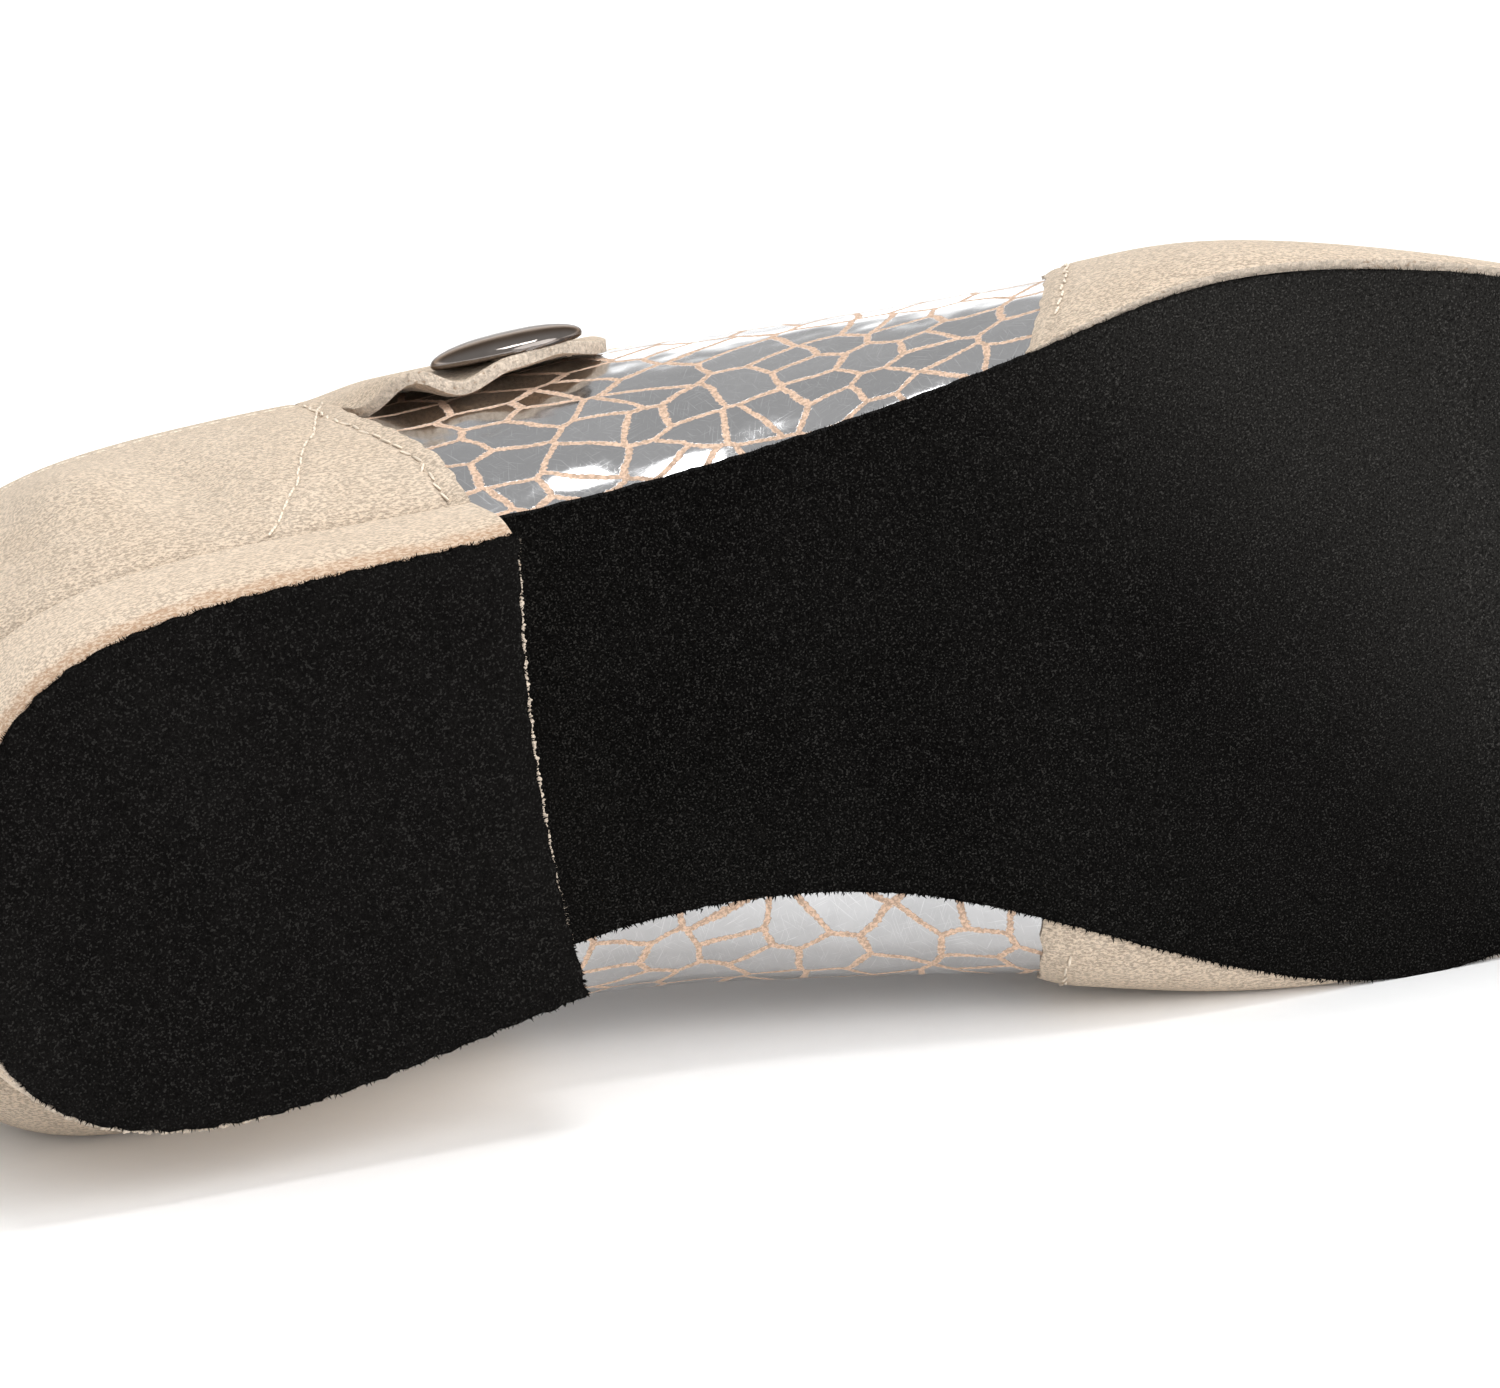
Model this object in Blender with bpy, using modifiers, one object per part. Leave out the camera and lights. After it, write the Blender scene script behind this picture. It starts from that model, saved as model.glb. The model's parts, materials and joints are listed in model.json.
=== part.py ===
"""Right-foot dance practice shoe with a buttoned instep strap, lying on its inner side.

Every piece is drawn on a shoe that stands on its sole: X runs from heel to toe, Z is up, and the
outer side of the foot is at -Y. A parent empty then lays the whole shoe down on its inner side.
Sizes are in millimetres and become metres where a mesh is made.
"""

import math

import bmesh
import bpy
import numpy as np
from mathutils import Matrix, Vector

MM = 0.001

# Driving sizes of the shoe
SHOE_LENGTH = 240.0
BALL_WIDTH = 85.0
INSTEP_HEIGHT = 54.0
HEEL_BACK_HEIGHT = 13.5
HEEL_BREAST_HEIGHT = 11.5
TOE_SPRING = 7.0

# The floor that the inner side lies on: the soft wall is pressed flat where it reaches it
FLOOR_AT_BALL = 49.25
FLOOR_SLOPE = 0.09
BALL_PLACE = 166.0
PRESS_SOFTNESS = 0.35

# Places along the length
HEEL_BREAST = 66.0
TREAD_START = 140.0
TREAD_END = 166.0

# Thicknesses of the materials
FIT_GAP = 0.3
SOLE_THICKNESS = 3.0
WALL_THICKNESS = 1.6
OVERLAY_THICKNESS = 0.9
INSOLE_THICKNESS = 3.0
TOP_PIECE_THICKNESS = 2.0
STRAP_THICKNESS = 1.5

# How far one piece stands out from another
LASTING_MARGIN = 8.0
SOLE_EDGE_OUT = 0.6
HEEL_EDGE_OUT = 0.8
HEEL_COVER_BULGE = 0.7
HEEL_FLARE = 1.2
BREAST_HOLLOW = 2.0
INSOLE_INSET = WALL_THICKNESS + 1.0
STRAP_CLEARANCE = 0.5

# The button on the strap: its place is a share of the strap's outer end
BUTTON_DIAMETER = 17.5
BUTTON_THICKNESS = 2.2
BUTTON_BEVEL = 0.8
BUTTON_SEGMENTS = 32
BUTTON_SEAT = 0.55
BUTTON_SPAN = 0.3
BUTTON_UP = 0.42
BUTTON_ACROSS = 0.615

# The strap: which ribs its edges follow at each side, how high its tip lies, and its arch
STRAP_OUTER_RIBS = (3.02, 3.74)
STRAP_FLARE = 0.085
STRAP_INNER_RIBS = (14.80, 14.30)
STRAP_TIP_HEIGHT = 0.60
STRAP_TIP_ROUNDING = 0.16
STRAP_TUCK_HEIGHT = 0.74
STRAP_ARCH = 34.0
STRAP_OUTER_SHARE = 0.27
STRAP_TUCK_SHARE = 0.14

# The slack hump in the strap's outer end, and the curl of its tip in front of the hump
STRAP_LIFT = 0.4
STRAP_HUMP = 2.4
STRAP_HUMP_PLACE = 0.17
STRAP_HUMP_WIDTH = 0.10
STRAP_CURL = 1.7
STRAP_CURL_START = 0.32
STRAP_CURL_FULL = 0.56
STRAP_CURL_REACH = 0.6
STRAP_CURL_END = 0.72

# Mesh fineness
STEPS_PER_RIB = 4
WALL_STEPS = 12
SOLE_STEPS_ALONG = 40
SOLE_STEPS_ACROSS = 6
HEEL_STEPS_ROUND = 28
BREAST_STEPS = 6
STRAP_STEPS_ALONG = 28
STRAP_STEPS_ACROSS = 14

# Ribs of the upper, in order round the shoe: heel, outer side, toe, inner side.
# A rib starts at the foot line, swells out, leans forward, and runs up to the collar under its brow.
# x is a percentage of the length, y of the ball width and z of the instep height.
RIB_COLUMNS = (
    "foot_x", "foot_y", "swell_y", "rise_z", "lean_x",
    "top_x", "top_y", "top_z", "brow_x", "brow_y", "brow_z",
)
RIB_TABLE = (
    (0.1, 1.0, 5.3, 26.0, 0.0, 2.1, 2.0, 125.0, -2.9, 0.6, -33.0),  # back of the heel
    (3.8, -22.6, 5.0, 23.0, 0.0, 5.6, -22.6, 117.0, -1.7, -4.0, -31.0),
    (12.9, -31.3, 5.8, 23.0, 0.0, 13.8, -34.0, 107.0, 0.0, -3.2, -28.0),
    (27.5, -30.1, 6.8, 22.0, 0.0, 27.3, -34.6, 105.0, 0.0, -3.4, -28.0),  # front edge of the quarter
    (40.0, -32.2, 8.2, 25.0, 1.0, 43.8, -31.2, 107.0, 0.0, -8.0, -26.0),
    (52.9, -38.8, 6.6, 30.0, 4.0, 57.5, -17.6, 105.0, 1.5, -19.0, -19.0),  # rear edge of the vamp
    (63.3, -42.6, 3.8, 25.0, 1.5, 61.7, -8.8, 102.0, 3.2, -18.0, -17.0),
    (77.5, -33.0, 1.2, 23.0, 0.0, 63.1, -2.4, 100.0, 9.2, -16.0, -19.0),
    (91.3, -10.6, 3.6, 28.0, 0.0, 63.8, 3.5, 100.0, 15.8, -9.5, -22.0),
    (99.8, 24.7, 4.6, 30.0, 0.0, 64.0, 9.5, 100.0, 18.8, 6.0, -24.0),  # tip of the toe
    (94.2, 48.8, 4.2, 29.0, 0.0, 63.8, 15.5, 100.0, 15.8, 16.0, -22.0),
    (79.6, 55.0, 3.2, 23.0, 0.0, 63.1, 21.5, 100.0, 10.4, 20.5, -19.0),
    (65.4, 55.6, 9.5, 10.5, 1.5, 61.3, 27.6, 102.0, 3.2, 20.0, -17.0),
    (50.4, 36.2, 30.0, 6.0, 3.8, 56.3, 33.5, 105.0, 1.5, 12.0, -22.0),  # rear edge of the vamp
    (39.6, 26.5, 31.0, 6.0, 1.0, 43.5, 37.0, 107.0, 0.0, 7.6, -29.0),
    (27.5, 27.1, 20.0, 11.0, 0.0, 27.3, 37.6, 105.0, 0.0, 6.6, -30.0),  # front edge of the quarter
    (12.9, 32.6, 17.0, 12.0, 0.0, 13.8, 39.4, 107.0, 0.0, 5.3, -30.0),
    (2.7, 24.6, 18.0, 14.0, 0.0, 5.2, 29.5, 117.0, -1.7, 5.6, -31.0),
)
RIB_SCALES = {"x": SHOE_LENGTH / 100.0, "y": BALL_WIDTH / 100.0, "z": INSTEP_HEIGHT / 100.0}
QUARTER_RIBS = (-3, 3)
VAMP_RIBS = (5, 13)
OUTER_BREAST_RIBS = (2.0, 5.0)
INNER_BREAST_RIBS = (16.0, 13.0)
TOE_RIB = 9
OVERLAY_FOOT = 0.03

# How far a panel's first and last edges lean round the shoe, in ribs, between two heights,
# and the share of the panel that this lean reaches into
LEAN_REACH = 0.2
QUARTER_LEANS = (0.0, -0.11)
QUARTER_LEAN_HEIGHTS = (0.3, 0.7)
VAMP_LEANS = (0.17, 0.0)
VAMP_LEAN_HEIGHTS = (0.0, 0.42)

# Finishes: colour, roughness, metallic
FINISHES = {
    "sand_suede": ((0.66, 0.52, 0.38, 1.0), 0.9, 0.0),
    "silver_crackle": ((0.55, 0.52, 0.50, 1.0), 0.25, 0.8),
    "black_suede": ((0.012, 0.012, 0.012, 1.0), 0.95, 0.0),
    "sock_leather": ((0.60, 0.47, 0.34, 1.0), 0.7, 0.0),
    "dark_nickel": ((0.22, 0.20, 0.19, 1.0), 0.2, 1.0),
}


def scaled_ribs():
    """The rib table in millimetres."""
    scales = [RIB_SCALES[name[-1]] for name in RIB_COLUMNS]
    return np.array(RIB_TABLE) * np.array(scales)


def closed_spline_bends(rows):
    """Second derivatives of the smooth closed curve that runs through all the rows."""
    one = np.eye(len(rows))
    system = 4.0 * one + np.roll(one, 1, axis=0) + np.roll(one, -1, axis=0)
    turns = np.roll(rows, 1, axis=0) - 2.0 * rows + np.roll(rows, -1, axis=0)
    return np.linalg.solve(system, 6.0 * turns)


RIBS = scaled_ribs()
RIB_COUNT = len(RIBS)
RIB_BENDS = closed_spline_bends(RIBS)


def rib(u):
    """The rib at place u round the shoe, where whole numbers are rows of the table."""
    low = math.floor(u)
    t = u - low
    s = 1.0 - t
    here = low % RIB_COUNT
    after = (low + 1) % RIB_COUNT
    bend = (s**3 - s) * RIB_BENDS[here] + (t**3 - t) * RIB_BENDS[after]
    return dict(zip(RIB_COLUMNS, s * RIBS[here] + t * RIBS[after] + bend / 6.0))


def smooth_step(t):
    """0 below 0, 1 above 1, and a soft S between them."""
    t = min(max(t, 0.0), 1.0)
    return t * t * (3.0 - 2.0 * t)


def sole_height(x):
    """Height of the tread above the floor: heel seat, arch, flat tread, then toe spring."""
    if x <= HEEL_BREAST:
        return HEEL_BACK_HEIGHT + (HEEL_BREAST_HEIGHT - HEEL_BACK_HEIGHT) * x / HEEL_BREAST
    if x <= TREAD_END:
        arch = (x - HEEL_BREAST) / (TREAD_START - HEEL_BREAST)
        return HEEL_BREAST_HEIGHT * (1.0 - smooth_step(arch))
    return TOE_SPRING * ((x - TREAD_END) / (SHOE_LENGTH - TREAD_END)) ** 2


def seat_height(x):
    """Height of the underside of the upper."""
    return sole_height(x) + SOLE_THICKNESS + FIT_GAP


def foot_normal(u):
    """Outward direction of the foot line, in plan."""
    step = 0.01
    before = rib(u - step)
    after = rib(u + step)
    along = np.array([after["foot_x"] - before["foot_x"], after["foot_y"] - before["foot_y"]])
    along /= np.linalg.norm(along)
    return np.array([along[1], -along[0]])


def foot_line(u, out=0.0):
    """Plan position of the foot line, moved outwards by out."""
    row = rib(u)
    return np.array([row["foot_x"], row["foot_y"]]) + out * foot_normal(u)


def pressed_back(x, y):
    """The sideways place y, held back where the inner wall would reach through the floor."""
    floor = FLOOR_AT_BALL + FLOOR_SLOPE * (x - BALL_PLACE) - FIT_GAP - OVERLAY_THICKNESS
    return -PRESS_SOFTNESS * np.logaddexp(-y / PRESS_SOFTNESS, -floor / PRESS_SOFTNESS)


def wall_surface(u, v):
    """A point on the outer face of the upper, from the foot line (v = 0) to the collar (v = 1)."""
    row = rib(u)
    foot = np.array([row["foot_x"], row["foot_y"], seat_height(row["foot_x"])])
    swell = foot + np.array([*(row["swell_y"] * foot_normal(u)), row["rise_z"]])
    swell[0] += row["lean_x"]
    top = np.array([row["top_x"], row["top_y"], row["top_z"]])
    brow = top + np.array([row["brow_x"], row["brow_y"], row["brow_z"]])
    w = 1.0 - v
    point = w**3 * foot + 3.0 * w * w * v * swell + 3.0 * w * v * v * brow + v**3 * top
    point[1] = pressed_back(point[0], point[1])
    return point


def wall_normal(u, v):
    """Outward direction of the upper's outer face."""
    step = 0.02
    low = max(v - step, 0.0)
    high = min(v + step, 1.0)
    round_way = wall_surface(u + step, v) - wall_surface(u - step, v)
    up_way = wall_surface(u, high) - wall_surface(u, low)
    normal = np.cross(round_way, up_way)
    return normal / np.linalg.norm(normal)


def wall_point(u, v, lift=0.0):
    """A point that stands off the upper's outer face by lift."""
    return wall_surface(u, v) + lift * wall_normal(u, v)


def collar_rise(u):
    """Direction in which the upper runs up to its collar."""
    row = rib(u)
    rise = -np.array([row["brow_x"], row["brow_y"], row["brow_z"]])
    return rise / np.linalg.norm(rise)


def mix(a, b, share):
    """The value a share of the way from a to b."""
    return a + (b - a) * share


def grid_mesh(name, along_steps, across_steps, place):
    """A grid whose corners are moved to place(along, across), both from 0 to 1."""
    work = bmesh.new()
    bmesh.ops.create_grid(work, x_segments=along_steps, y_segments=across_steps, size=0.5)
    for corner in work.verts:
        corner.co = Vector(place(corner.co.x + 0.5, corner.co.y + 0.5)) * MM
    bmesh.ops.remove_doubles(work, verts=work.verts, dist=0.00001)
    mesh = bpy.data.meshes.new(name)
    work.to_mesh(mesh)
    work.free()
    return mesh


def prism_mesh(name, rings):
    """A closed prism through rings of corners, from the lowest ring to the highest."""
    work = bmesh.new()
    face = work.faces.new([work.verts.new(Vector(point) * MM) for point in rings[0]])
    base = face
    for ring in rings[1:]:
        made = bmesh.ops.extrude_face_region(work, geom=[face])["geom"]
        if face is not base:
            work.faces.remove(face)
        face = next(item for item in made if isinstance(item, bmesh.types.BMFace))
        for corner, point in zip(face.verts, ring):
            corner.co = Vector(point) * MM
    bmesh.ops.recalc_face_normals(work, faces=work.faces)
    mesh = bpy.data.meshes.new(name)
    work.to_mesh(mesh)
    work.free()
    return mesh


def finish_material(finish):
    """The material of that finish, made once."""
    if finish in bpy.data.materials:
        return bpy.data.materials[finish]
    colour, roughness, metallic = FINISHES[finish]
    material = bpy.data.materials.new(finish)
    material.use_nodes = True
    shader = material.node_tree.nodes["Principled BSDF"]
    shader.inputs["Base Color"].default_value = colour
    shader.inputs["Roughness"].default_value = roughness
    shader.inputs["Metallic"].default_value = metallic
    material.diffuse_color = colour
    return material


def add_piece(shoe, name, mesh, finish):
    """Puts a mesh in the scene as one named piece of the shoe."""
    piece = bpy.data.objects.new(name, mesh)
    mesh.materials.append(finish_material(finish))
    shoe["collection"].objects.link(piece)
    piece.parent = shoe["empty"]
    shoe["pieces"].append(piece)
    return piece


def thicken(piece, thickness, offset):
    """Gives an open surface a wall. Offset 1 grows outwards and -1 inwards."""
    solidify = piece.modifiers.new("wall", "SOLIDIFY")
    solidify.thickness = thickness * MM
    solidify.offset = offset
    solidify.use_even_offset = True


def add_upper(shoe):
    """The hollow upper: lasting margin, walls and toe, open at the collar and underneath."""
    margin_share = 1.0 / (WALL_STEPS + 1)

    def place(round_share, up_share):
        u = round_share * RIB_COUNT
        if up_share < margin_share / 2.0:
            x, y = foot_line(u, -LASTING_MARGIN)
            return x, y, seat_height(x)
        return wall_surface(u, (up_share - margin_share) / (1.0 - margin_share))

    mesh = grid_mesh("upper", RIB_COUNT * STEPS_PER_RIB, WALL_STEPS + 1, place)
    thicken(add_piece(shoe, "upper", mesh, "silver_crackle"), WALL_THICKNESS, -1.0)


def add_overlay(shoe, name, ribs, leans, heights):
    """A suede panel that lies on the upper between two ribs, with edges that lean up the wall."""
    first, last = ribs
    low, high = heights

    def place(round_share, up_share):
        v = mix(OVERLAY_FOOT, 1.0, up_share)
        rise = min(max((v - low) / (high - low), 0.0), 1.0)
        first_lean = leans[0] * smooth_step(1.0 - round_share / LEAN_REACH)
        last_lean = leans[1] * smooth_step(1.0 - (1.0 - round_share) / LEAN_REACH)
        u = mix(first, last, round_share) + (first_lean + last_lean) * rise
        return wall_point(u, v, FIT_GAP)

    mesh = grid_mesh(name, (last - first) * STEPS_PER_RIB, WALL_STEPS, place)
    thicken(add_piece(shoe, name, mesh, "sand_suede"), OVERLAY_THICKNESS, 1.0)


def rib_at(x, ribs, out):
    """The place between two ribs, the first nearer the heel, where the foot line reaches x."""
    rear, front = ribs
    for _ in range(40):
        middle = (rear + front) / 2.0
        if foot_line(middle, out)[0] < x:
            rear = middle
        else:
            front = middle
    return (rear + front) / 2.0


def breast_hollow(across):
    """How far the breast of the heel is hollowed, from one side to the other."""
    return BREAST_HOLLOW * 4.0 * across * (1.0 - across)


def add_outsole(shoe):
    """The thin sole, from the breast of the heel to the toe, with its arch and toe spring."""
    breast = HEEL_BREAST + FIT_GAP
    outer_start = rib_at(breast, OUTER_BREAST_RIBS, SOLE_EDGE_OUT)
    inner_start = rib_at(breast, INNER_BREAST_RIBS, SOLE_EDGE_OUT)
    fade_steps = 4.0

    def place(along, across):
        outer = foot_line(mix(outer_start, TOE_RIB, along), SOLE_EDGE_OUT)
        inner = foot_line(mix(inner_start, TOE_RIB, along), SOLE_EDGE_OUT)
        x, y = mix(outer, inner, across)
        x -= breast_hollow(across) * max(0.0, 1.0 - along * SOLE_STEPS_ALONG / fade_steps)
        return x, y, sole_height(x)

    mesh = grid_mesh("outsole", SOLE_STEPS_ALONG, SOLE_STEPS_ACROSS, place)
    thicken(add_piece(shoe, "outsole", mesh, "black_suede"), SOLE_THICKNESS, 1.0)


def add_insole(shoe):
    """The sock that lies on the lasting margin inside the upper."""
    height = WALL_THICKNESS + FIT_GAP

    def place(along, across):
        outer = foot_line(TOE_RIB * along, -INSOLE_INSET)
        inner = foot_line(mix(RIB_COUNT, TOE_RIB, along), -INSOLE_INSET)
        x, y = mix(outer, inner, across)
        return x, y, seat_height(x) + height

    mesh = grid_mesh("insole", SOLE_STEPS_ALONG, SOLE_STEPS_ACROSS, place)
    thicken(add_piece(shoe, "insole", mesh, "sock_leather"), INSOLE_THICKNESS, 1.0)


def heel_outline(out, flare_share):
    """Plan points of the heel: from the breast round the back, then along the hollow breast."""
    first = rib_at(HEEL_BREAST, OUTER_BREAST_RIBS, out)
    last = rib_at(HEEL_BREAST, INNER_BREAST_RIBS, out) - RIB_COUNT
    points = []
    for i in range(HEEL_STEPS_ROUND + 1):
        x, y = foot_line(mix(first, last, i / HEEL_STEPS_ROUND), out)
        flare = HEEL_FLARE * flare_share * max(0.0, x / HEEL_BREAST) ** 2
        points.append(np.array([x, y + math.copysign(flare, y)]))
    outer_end = points[0]
    inner_end = points[-1]
    for i in range(1, BREAST_STEPS):
        share = i / BREAST_STEPS
        x, y = mix(inner_end, outer_end, share)
        points.append((x - breast_hollow(share), y))
    return points


def add_heel(shoe):
    """The low covered heel block, with a slightly swelled cover."""
    foot = TOP_PIECE_THICKNESS + FIT_GAP
    rings = []
    for share, swell in ((0.0, 0.0), (0.3, 0.8), (0.7, 1.0), (1.0, 0.0)):
        outline = heel_outline(HEEL_EDGE_OUT + HEEL_COVER_BULGE * swell, 1.0 - share)
        rings.append([(x, y, mix(foot, sole_height(x) + SOLE_THICKNESS, share)) for x, y in outline])
    add_piece(shoe, "heel", prism_mesh("heel", rings), "sand_suede")


def add_heel_top_piece(shoe):
    """The flat suede piece that the heel stands on."""
    outline = heel_outline(HEEL_EDGE_OUT, 1.0)
    rings = [[(x, y, z) for x, y in outline] for z in (0.0, TOP_PIECE_THICKNESS)]
    add_piece(shoe, "heel_top_piece", prism_mesh("heel_top_piece", rings), "black_suede")


def strap_outer_point(up, across):
    """A point on the back of the strap where it lies on the outer side; up is 0 at the tip."""
    flare = STRAP_FLARE * (1.0 - across) * (1.0 - smooth_step(up / STRAP_CURL_REACH))
    u = mix(*STRAP_OUTER_RIBS, across) - flare
    tip = STRAP_TIP_HEIGHT + STRAP_TIP_ROUNDING * abs(2.0 * across - 1.0) ** 2.5
    hump = STRAP_HUMP * math.exp(-(((across - STRAP_HUMP_PLACE) / STRAP_HUMP_WIDTH) ** 2))
    curl = STRAP_CURL * smooth_step((across - STRAP_CURL_START) / (STRAP_CURL_FULL - STRAP_CURL_START))
    curl *= 1.0 - 0.8 * smooth_step((across - STRAP_CURL_END) / (1.0 - STRAP_CURL_END))
    lift = STRAP_LIFT + hump * (1.0 - smooth_step(up)) + curl * (1.0 - smooth_step(up / STRAP_CURL_REACH))
    return wall_point(u, mix(tip, 1.0, up), lift)


def strap_point(along, across):
    """A point on the back of the strap: up the outer side, over the instep, down inside."""
    outer_rib = mix(*STRAP_OUTER_RIBS, across)
    inner_rib = mix(*STRAP_INNER_RIBS, across)
    inner_lift = -(WALL_THICKNESS + STRAP_CLEARANCE + STRAP_THICKNESS)
    if along < STRAP_OUTER_SHARE:
        return strap_outer_point(along / STRAP_OUTER_SHARE, across)
    if along > 1.0 - STRAP_TUCK_SHARE:
        down = (along - 1.0 + STRAP_TUCK_SHARE) / STRAP_TUCK_SHARE
        return wall_point(inner_rib, mix(1.0, STRAP_TUCK_HEIGHT, down), inner_lift)
    t = (along - STRAP_OUTER_SHARE) / (1.0 - STRAP_OUTER_SHARE - STRAP_TUCK_SHARE)
    s = 1.0 - t
    start = strap_outer_point(1.0, across)
    end = wall_point(inner_rib, 1.0, inner_lift)
    start_handle = start + STRAP_ARCH * collar_rise(outer_rib)
    end_handle = end + STRAP_ARCH * collar_rise(inner_rib)
    return s**3 * start + 3.0 * s * s * t * start_handle + 3.0 * s * t * t * end_handle + t**3 * end


def add_strap(shoe):
    """The instep strap: sewn inside the inner collar, buttoned on the outer side."""

    def place(along, across):
        return strap_point(along, 1.0 - across)

    mesh = grid_mesh("strap", STRAP_STEPS_ALONG, STRAP_STEPS_ACROSS, place)
    thicken(add_piece(shoe, "strap", mesh, "sand_suede"), STRAP_THICKNESS, 1.0)


def add_button(shoe):
    """The metal button, standing on the strap's outer face."""
    seat = strap_outer_point(BUTTON_UP, BUTTON_ACROSS)
    above = strap_outer_point(BUTTON_UP + BUTTON_SPAN, BUTTON_ACROSS)
    below = strap_outer_point(BUTTON_UP - BUTTON_SPAN, BUTTON_ACROSS)
    front = strap_outer_point(BUTTON_UP, BUTTON_ACROSS + BUTTON_SPAN)
    rear = strap_outer_point(BUTTON_UP, BUTTON_ACROSS - BUTTON_SPAN)
    out_way = Vector(np.cross(front - rear, above - below)).normalized()
    work = bmesh.new()
    bmesh.ops.create_cone(
        work,
        cap_ends=True,
        segments=BUTTON_SEGMENTS,
        radius1=BUTTON_DIAMETER / 2.0 * MM,
        radius2=BUTTON_DIAMETER / 2.0 * MM,
        depth=BUTTON_THICKNESS * MM,
    )
    mesh = bpy.data.meshes.new("button")
    work.to_mesh(mesh)
    work.free()
    piece = add_piece(shoe, "button", mesh, "dark_nickel")
    stand = STRAP_THICKNESS + BUTTON_SEAT + BUTTON_THICKNESS / 2.0
    piece.rotation_euler = out_way.to_track_quat("Z", "Y").to_euler()
    piece.location = (Vector(seat) + out_way * stand) * MM
    bevel = piece.modifiers.new("rounded rim", "BEVEL")
    bevel.width = BUTTON_BEVEL * MM
    bevel.segments = 3
    bevel.limit_method = "ANGLE"


def solid_points(piece, graph):
    """The corners of a piece's triangles, in metres on the standing shoe."""
    evaluated = piece.evaluated_get(graph)
    mesh = evaluated.to_mesh()
    mesh.calc_loop_triangles()
    turn = np.array(evaluated.matrix_world)
    corners = np.array([[mesh.vertices[i].co for i in face.vertices] for face in mesh.loop_triangles])
    evaluated.to_mesh_clear()
    return corners @ turn[:3, :3].T + turn[:3, 3]


def lay_down(shoe):
    """Lays the shoe on its inner side, with its length along X and its box centred on the floor."""
    bpy.context.view_layer.update()
    graph = bpy.context.evaluated_depsgraph_get()
    corners = np.concatenate([solid_points(piece, graph) for piece in shoe["pieces"]])
    up = Vector((FLOOR_SLOPE, -1.0, 0.0)).normalized()
    forward = (Vector((1.0, 0.0, 0.0)) - up * up.x).normalized()
    turn = Matrix((forward, up.cross(forward), up))
    placed = corners.reshape(-1, 3) @ np.array(turn).T
    low = placed.min(axis=0)
    high = placed.max(axis=0)
    middle = (low + high) / 2.0
    shift = Vector((-middle[0], -middle[1], -low[2]))
    shoe["empty"].matrix_world = Matrix.Translation(shift) @ turn.to_4x4()


def main():
    for thing in list(bpy.data.objects):
        bpy.data.objects.remove(thing)
    collection = bpy.data.collections.new("dance_shoe")
    bpy.context.scene.collection.children.link(collection)
    empty = bpy.data.objects.new("shoe_frame", None)
    collection.objects.link(empty)
    shoe = {"collection": collection, "empty": empty, "pieces": []}
    add_upper(shoe)
    add_overlay(shoe, "quarter", QUARTER_RIBS, QUARTER_LEANS, QUARTER_LEAN_HEIGHTS)
    add_overlay(shoe, "vamp", VAMP_RIBS, VAMP_LEANS, VAMP_LEAN_HEIGHTS)
    add_outsole(shoe)
    add_insole(shoe)
    add_heel(shoe)
    add_heel_top_piece(shoe)
    add_strap(shoe)
    add_button(shoe)
    lay_down(shoe)


main()
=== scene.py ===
"""Dresses a right-foot dance practice shoe that lies on its inner side.

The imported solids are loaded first. Each operator then models one piece of the shoe on the same wall
functions as its solid, with a finer form and its own material, and one operator sets the stage.
Shoe sizes are in millimetres on a shoe that stands on its sole: X runs from heel to toe, Z is up and
the outer side of the foot is at -Y. They become metres in the frame of the solids.
"""

import json
import math

import bpy
import numpy as np
from bpy.props import FloatProperty, FloatVectorProperty, PointerProperty
from mathutils import Matrix, Vector


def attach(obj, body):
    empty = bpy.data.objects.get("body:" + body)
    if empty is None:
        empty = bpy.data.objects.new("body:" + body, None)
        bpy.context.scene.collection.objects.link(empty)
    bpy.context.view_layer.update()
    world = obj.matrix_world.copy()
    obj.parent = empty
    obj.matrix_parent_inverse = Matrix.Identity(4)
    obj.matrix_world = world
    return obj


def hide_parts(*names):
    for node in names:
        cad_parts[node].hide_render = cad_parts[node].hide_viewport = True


bl_info = {
    "name": "Dance practice shoe",
    "version": (1, 0, 0),
    "blender": (4, 5, 0),
    "location": "3D View > Sidebar > Dance Shoe",
    "description": "Dresses a dance practice shoe with suede, crackle foil, stitches and a button",
    "category": "Object",
}

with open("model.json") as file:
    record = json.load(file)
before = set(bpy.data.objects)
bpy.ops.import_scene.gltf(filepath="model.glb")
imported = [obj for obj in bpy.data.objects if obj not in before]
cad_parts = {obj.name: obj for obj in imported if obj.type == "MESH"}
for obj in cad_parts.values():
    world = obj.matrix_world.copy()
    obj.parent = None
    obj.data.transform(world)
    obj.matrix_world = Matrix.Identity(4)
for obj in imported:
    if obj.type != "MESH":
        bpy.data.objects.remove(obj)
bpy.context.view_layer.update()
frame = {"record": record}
MM = 0.001

# Driving sizes of the shoe, as in its solids
SHOE_LENGTH = 240.0
BALL_WIDTH = 85.0
INSTEP_HEIGHT = 54.0
HEEL_BACK_HEIGHT = 13.5
HEEL_BREAST_HEIGHT = 11.5
TOE_SPRING = 7.0
FLOOR_AT_BALL = 49.25
FLOOR_SLOPE = 0.09
BALL_PLACE = 166.0
PRESS_SOFTNESS = 0.35
HEEL_BREAST = 66.0
TREAD_START = 140.0
TREAD_END = 166.0
HEEL_BASE_PLACE = (33.0, 0.0, 0.0)
VIEW_MIDDLE = (88.92, -4.025, 0.0)

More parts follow.
